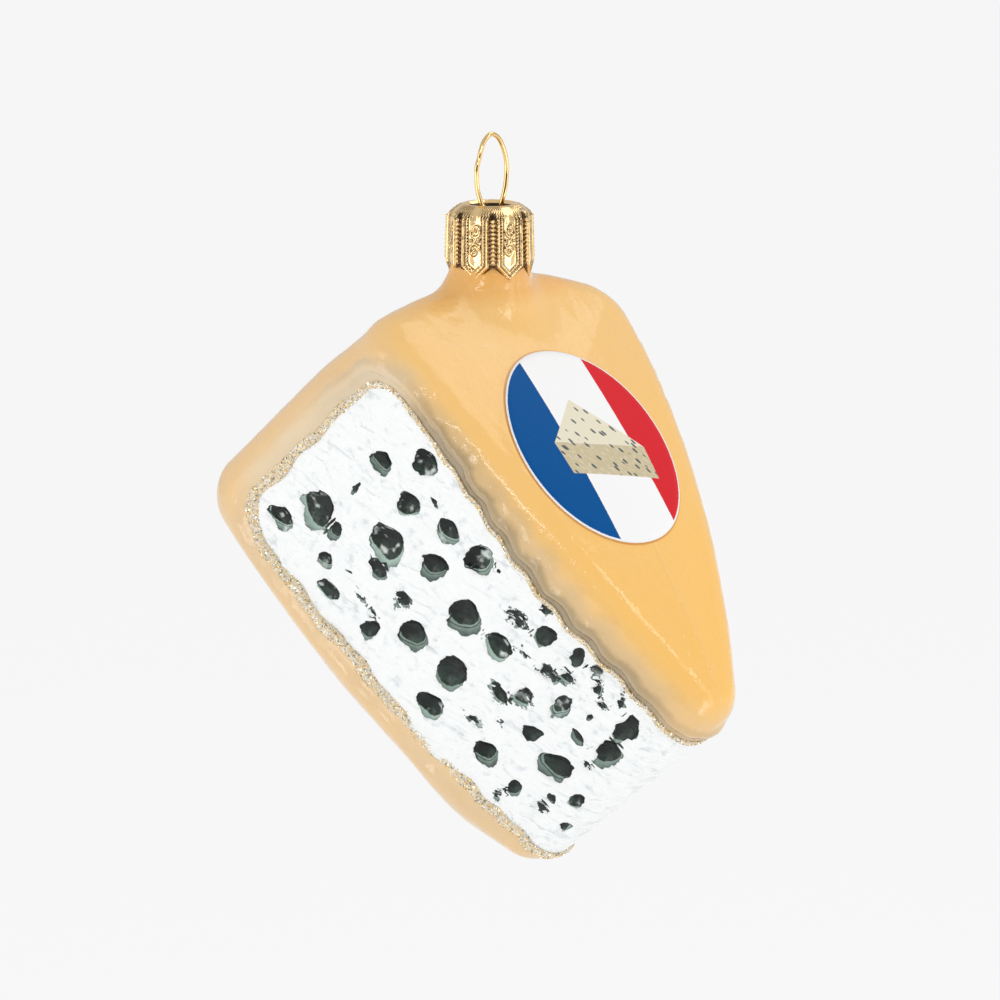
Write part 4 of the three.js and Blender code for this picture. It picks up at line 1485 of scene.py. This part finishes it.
    @staticmethod
    def scroll(x: np.ndarray, down: np.ndarray) -> np.ndarray:
        """Double curl embossed in the middle of a petal, 0 to 1."""
        out = np.zeros_like(x)
        for centre, hand in ((1.45, 1), (4.15, -1)):
            u, v = (x - 0.12 * hand), (down - centre)
            angle = np.arctan2(v * hand, u * hand)
            spiral = 0.31 + 0.12 * (angle / math.pi)
            gap = np.abs(np.hypot(u, v * 0.8) - 1.9 * spiral)
            out = np.maximum(out, np.exp(-((gap / 0.15) ** 2)))
            out = np.maximum(out, np.exp(-((np.hypot(u, v) / 0.2) ** 2)))
        bar = np.exp(-(((x + 0.3 * np.sin((down - 2.8) * 1.8)) / 0.17) ** 2)) \
            * np.exp(-(((down - 2.8) / 0.8) ** 4))
        knob = np.exp(-((np.hypot(np.abs(x) - 0.55, down - 2.8) / 0.2) ** 2))
        return np.maximum(np.maximum(out, bar), knob)


@dataclass
class HangerWire:
    """Spring wire bent by hand: a slightly skewed loop, and legs splayed inside the neck."""

    radius: float = 0.33

    def route(self) -> np.ndarray:
        """Centre points of the wire, left foot to right foot."""
        left = [(-3.55, 0.0, -19.5), (-3.0, -0.2, -15.0), (-2.2, -0.7, -12.0),
                (-2.0, -0.85, -10.2), (-2.2, -0.35, -8.9), (-2.5, 0.0, -7.2),
                (-2.7, 0.0, -5.4), (-2.62, 0.0, -4.0), (-2.2, 0.0, -2.95), (-1.86, 0.0, -1.9),
                (-1.2, 0.0, -0.62)]
        right = [(1.35, 0.0, -0.12), (2.25, 0.0, -1.15), (3.0, 0.0, -2.75), (3.32, 0.0, -4.4),
                 (3.2, 0.0, -6.4), (2.85, 0.05, -8.1), (2.6, 0.3, -9.5), (2.5, 0.5, -10.8),
                 (2.5, 0.3, -12.4), (3.0, 0.1, -15.0), (3.55, 0.0, -19.5)]
        return np.array([*left, (0.1, 0.0, self.radius - 0.06), *right])

    def build(self) -> bpy.types.Object:
        """Sweeps the wire along its bends."""
        points, faces = sweep(smooth_path(self.route(), 10), self.radius, 16)
        piece = new_mesh("hanger_wire_gold", points, faces)
        store(piece, "hollow", np.zeros(len(points)))
        finish = GoldFinish("gold_wire", linear(244, 208, 144), linear(176, 124, 62), 0.08, 0.00001)
        return finish_piece(piece, finish.material(), "gold_wire", "hanger_wire")


# ------------------------------------------------------------------------------- studio


@dataclass(frozen=True)
class Studio:
    """Pale seamless backdrop, soft lights and a long lens."""

    azimuth: float = math.radians(-46.8)
    elevation: float = math.radians(11.0)
    distance: float = 0.65
    view_width: float = 0.1389
    tent: float = 0.635
    opening: float = 0.03
    floor_shade: float = 0.16
    floor_glow: float = 0.82
    floor_radius_mm: float = 6000.0
    floor_drop_mm: float = 320.0
    sensor_width: float = 36.0
    opening_edge: tuple[float, float] = (0.86, 0.95)

    def axes(self) -> tuple[Vector, Vector, Vector]:
        """The camera's right, up and backward directions."""
        a, e = self.azimuth, self.elevation
        back = Vector((math.sin(a) * math.cos(e), -math.cos(a) * math.cos(e), math.sin(e)))
        right = Vector((math.cos(a), math.sin(a), 0.0))
        return right, back.cross(right), back

    def camera(self) -> None:
        """Places the camera at the viewing angle and frames the whole ornament."""
        right, _, back = self.axes()
        low, high = (Vector(c) for c in CAD_BOX)
        aim = (low + high) / 2 - right * 0.0020 - back * 0.0022
        data = bpy.data.cameras.new("camera")
        data.sensor_width = self.sensor_width
        data.lens = data.sensor_width * self.distance / self.view_width
        data.clip_start = 0.01
        camera = bpy.data.objects.new("camera", data)
        camera.location = aim + back * self.distance
        camera.rotation_euler = back.to_track_quat("Z", "Y").to_euler()
        bpy.context.scene.collection.objects.link(camera)
        bpy.context.scene.camera = camera

    def light(self, name: str, place: Vector, aim: Vector, size: tuple[float, float],
              power: float) -> None:
        """Adds a soft rectangular light that faces a point."""
        data = bpy.data.lights.new(name, "AREA")
        data.shape = "RECTANGLE"
        data.size, data.size_y = size
        data.energy = power
        lamp = bpy.data.objects.new(name, data)
        lamp.location = place
        lamp.rotation_euler = (place - aim).to_track_quat("Z", "Y").to_euler()
        bpy.context.scene.collection.objects.link(lamp)

    def build(self) -> None:
        """Sets the backdrop, lights, world and camera."""
        self.camera()
        right, _, back = self.axes()
        ahead = Vector((back.x, back.y, 0)).normalized()
        aim = Vector((0.0, 0.0, -0.055))
        high = Vector((0.0, 0.0, 1.0))
        self.light("overhead", aim + high * 0.62 + right * 0.32 - ahead * 0.19, aim,
                   (0.5, 0.5), 1.02)
        self.light("side", aim - right * 0.62 + ahead * 0.3 + high * 0.12, aim, (0.3, 0.5), 0.85)
        self.light("front", aim + ahead * 0.62 + high * 0.34 + right * 0.04, aim,
                   (0.3, 0.05), 0.45)
        for name, turn, wide in (("glint_left", -44.0, 0.10), ("glint_right", 58.0, 0.10)):
            toward = ahead * math.cos(math.radians(turn)) + right * math.sin(math.radians(turn))
            self.light(name, aim + toward * 0.55 - high * 0.10, aim, (wide, 0.2), 0.26)
        self.light("crease_glint", aim + right * 0.47 + ahead * 0.17 + high * 0.33, aim,
                   (0.09, 0.09), 0.14)
        self.light("far_side", aim + right * 0.6 + ahead * 0.2 + high * 0.05, aim,
                   (0.12, 0.5), 0.3)
        self.floor()
        self.world(ahead)
        bpy.context.scene.view_settings.view_transform = "Standard"

    def world(self, ahead: Vector) -> None:
        """White tent with a dark opening on the side that ahead points to."""
        world = bpy.data.worlds.new("world")
        bpy.context.scene.world = world
        world.use_nodes = True
        tree = world.node_tree
        where = tree.nodes.new("ShaderNodeTexCoord").outputs["Generated"]
        facing = tree.nodes.new("ShaderNodeVectorMath")
        facing.operation = "DOT_PRODUCT"
        facing.inputs[1].default_value = ahead
        opening = tree.nodes.new("ShaderNodeMapRange")
        opening.interpolation_type = "SMOOTHSTEP"
        for key, value in zip((1, 2, 3, 4), (*self.opening_edge, self.tent, self.opening)):
            opening.inputs[key].default_value = value
        tree.links.new(where, facing.inputs[0])
        tree.links.new(facing.outputs["Value"], opening.inputs[0])
        tree.links.new(opening.outputs[0], tree.nodes["Background"].inputs["Strength"])
        tree.nodes["Background"].inputs["Color"].default_value = (1.0, 1.0, 1.0, 1.0)

    def floor(self) -> None:
        """Wide pale floor under the hanging ornament, which also fills the view behind it."""
        around = [math.radians(a) for a in range(0, 360, 10)]
        points = [(self.floor_radius_mm * math.cos(a), self.floor_radius_mm * math.sin(a),
                   -self.floor_drop_mm) for a in around]
        floor = new_mesh("floor", np.array(points), [range(len(around))])
        sh = Shader("pale_floor")
        floor.data.materials.append(sh.surface(
            Base_Color=(self.floor_shade,) * 3, Roughness=1.0, Specular_IOR_Level=0.0,
            Emission_Color=(1.0, 1.0, 1.0), Emission_Strength=self.floor_glow))


def main() -> None:
    """Builds every piece of the ornament, then the studio round it."""
    logging.basicConfig(level=logging.INFO, format="%(name)s: %(message)s")
    form = WedgeForm()
    Studio().build()
    GlassBody(form).build()
    SparkleBorder(form).build()
    RoundSticker(form).build()
    cap = CrownCap()
    cap.build()
    cap.beads()
    HangerWire().build()


if __name__ == "__main__":
    main()
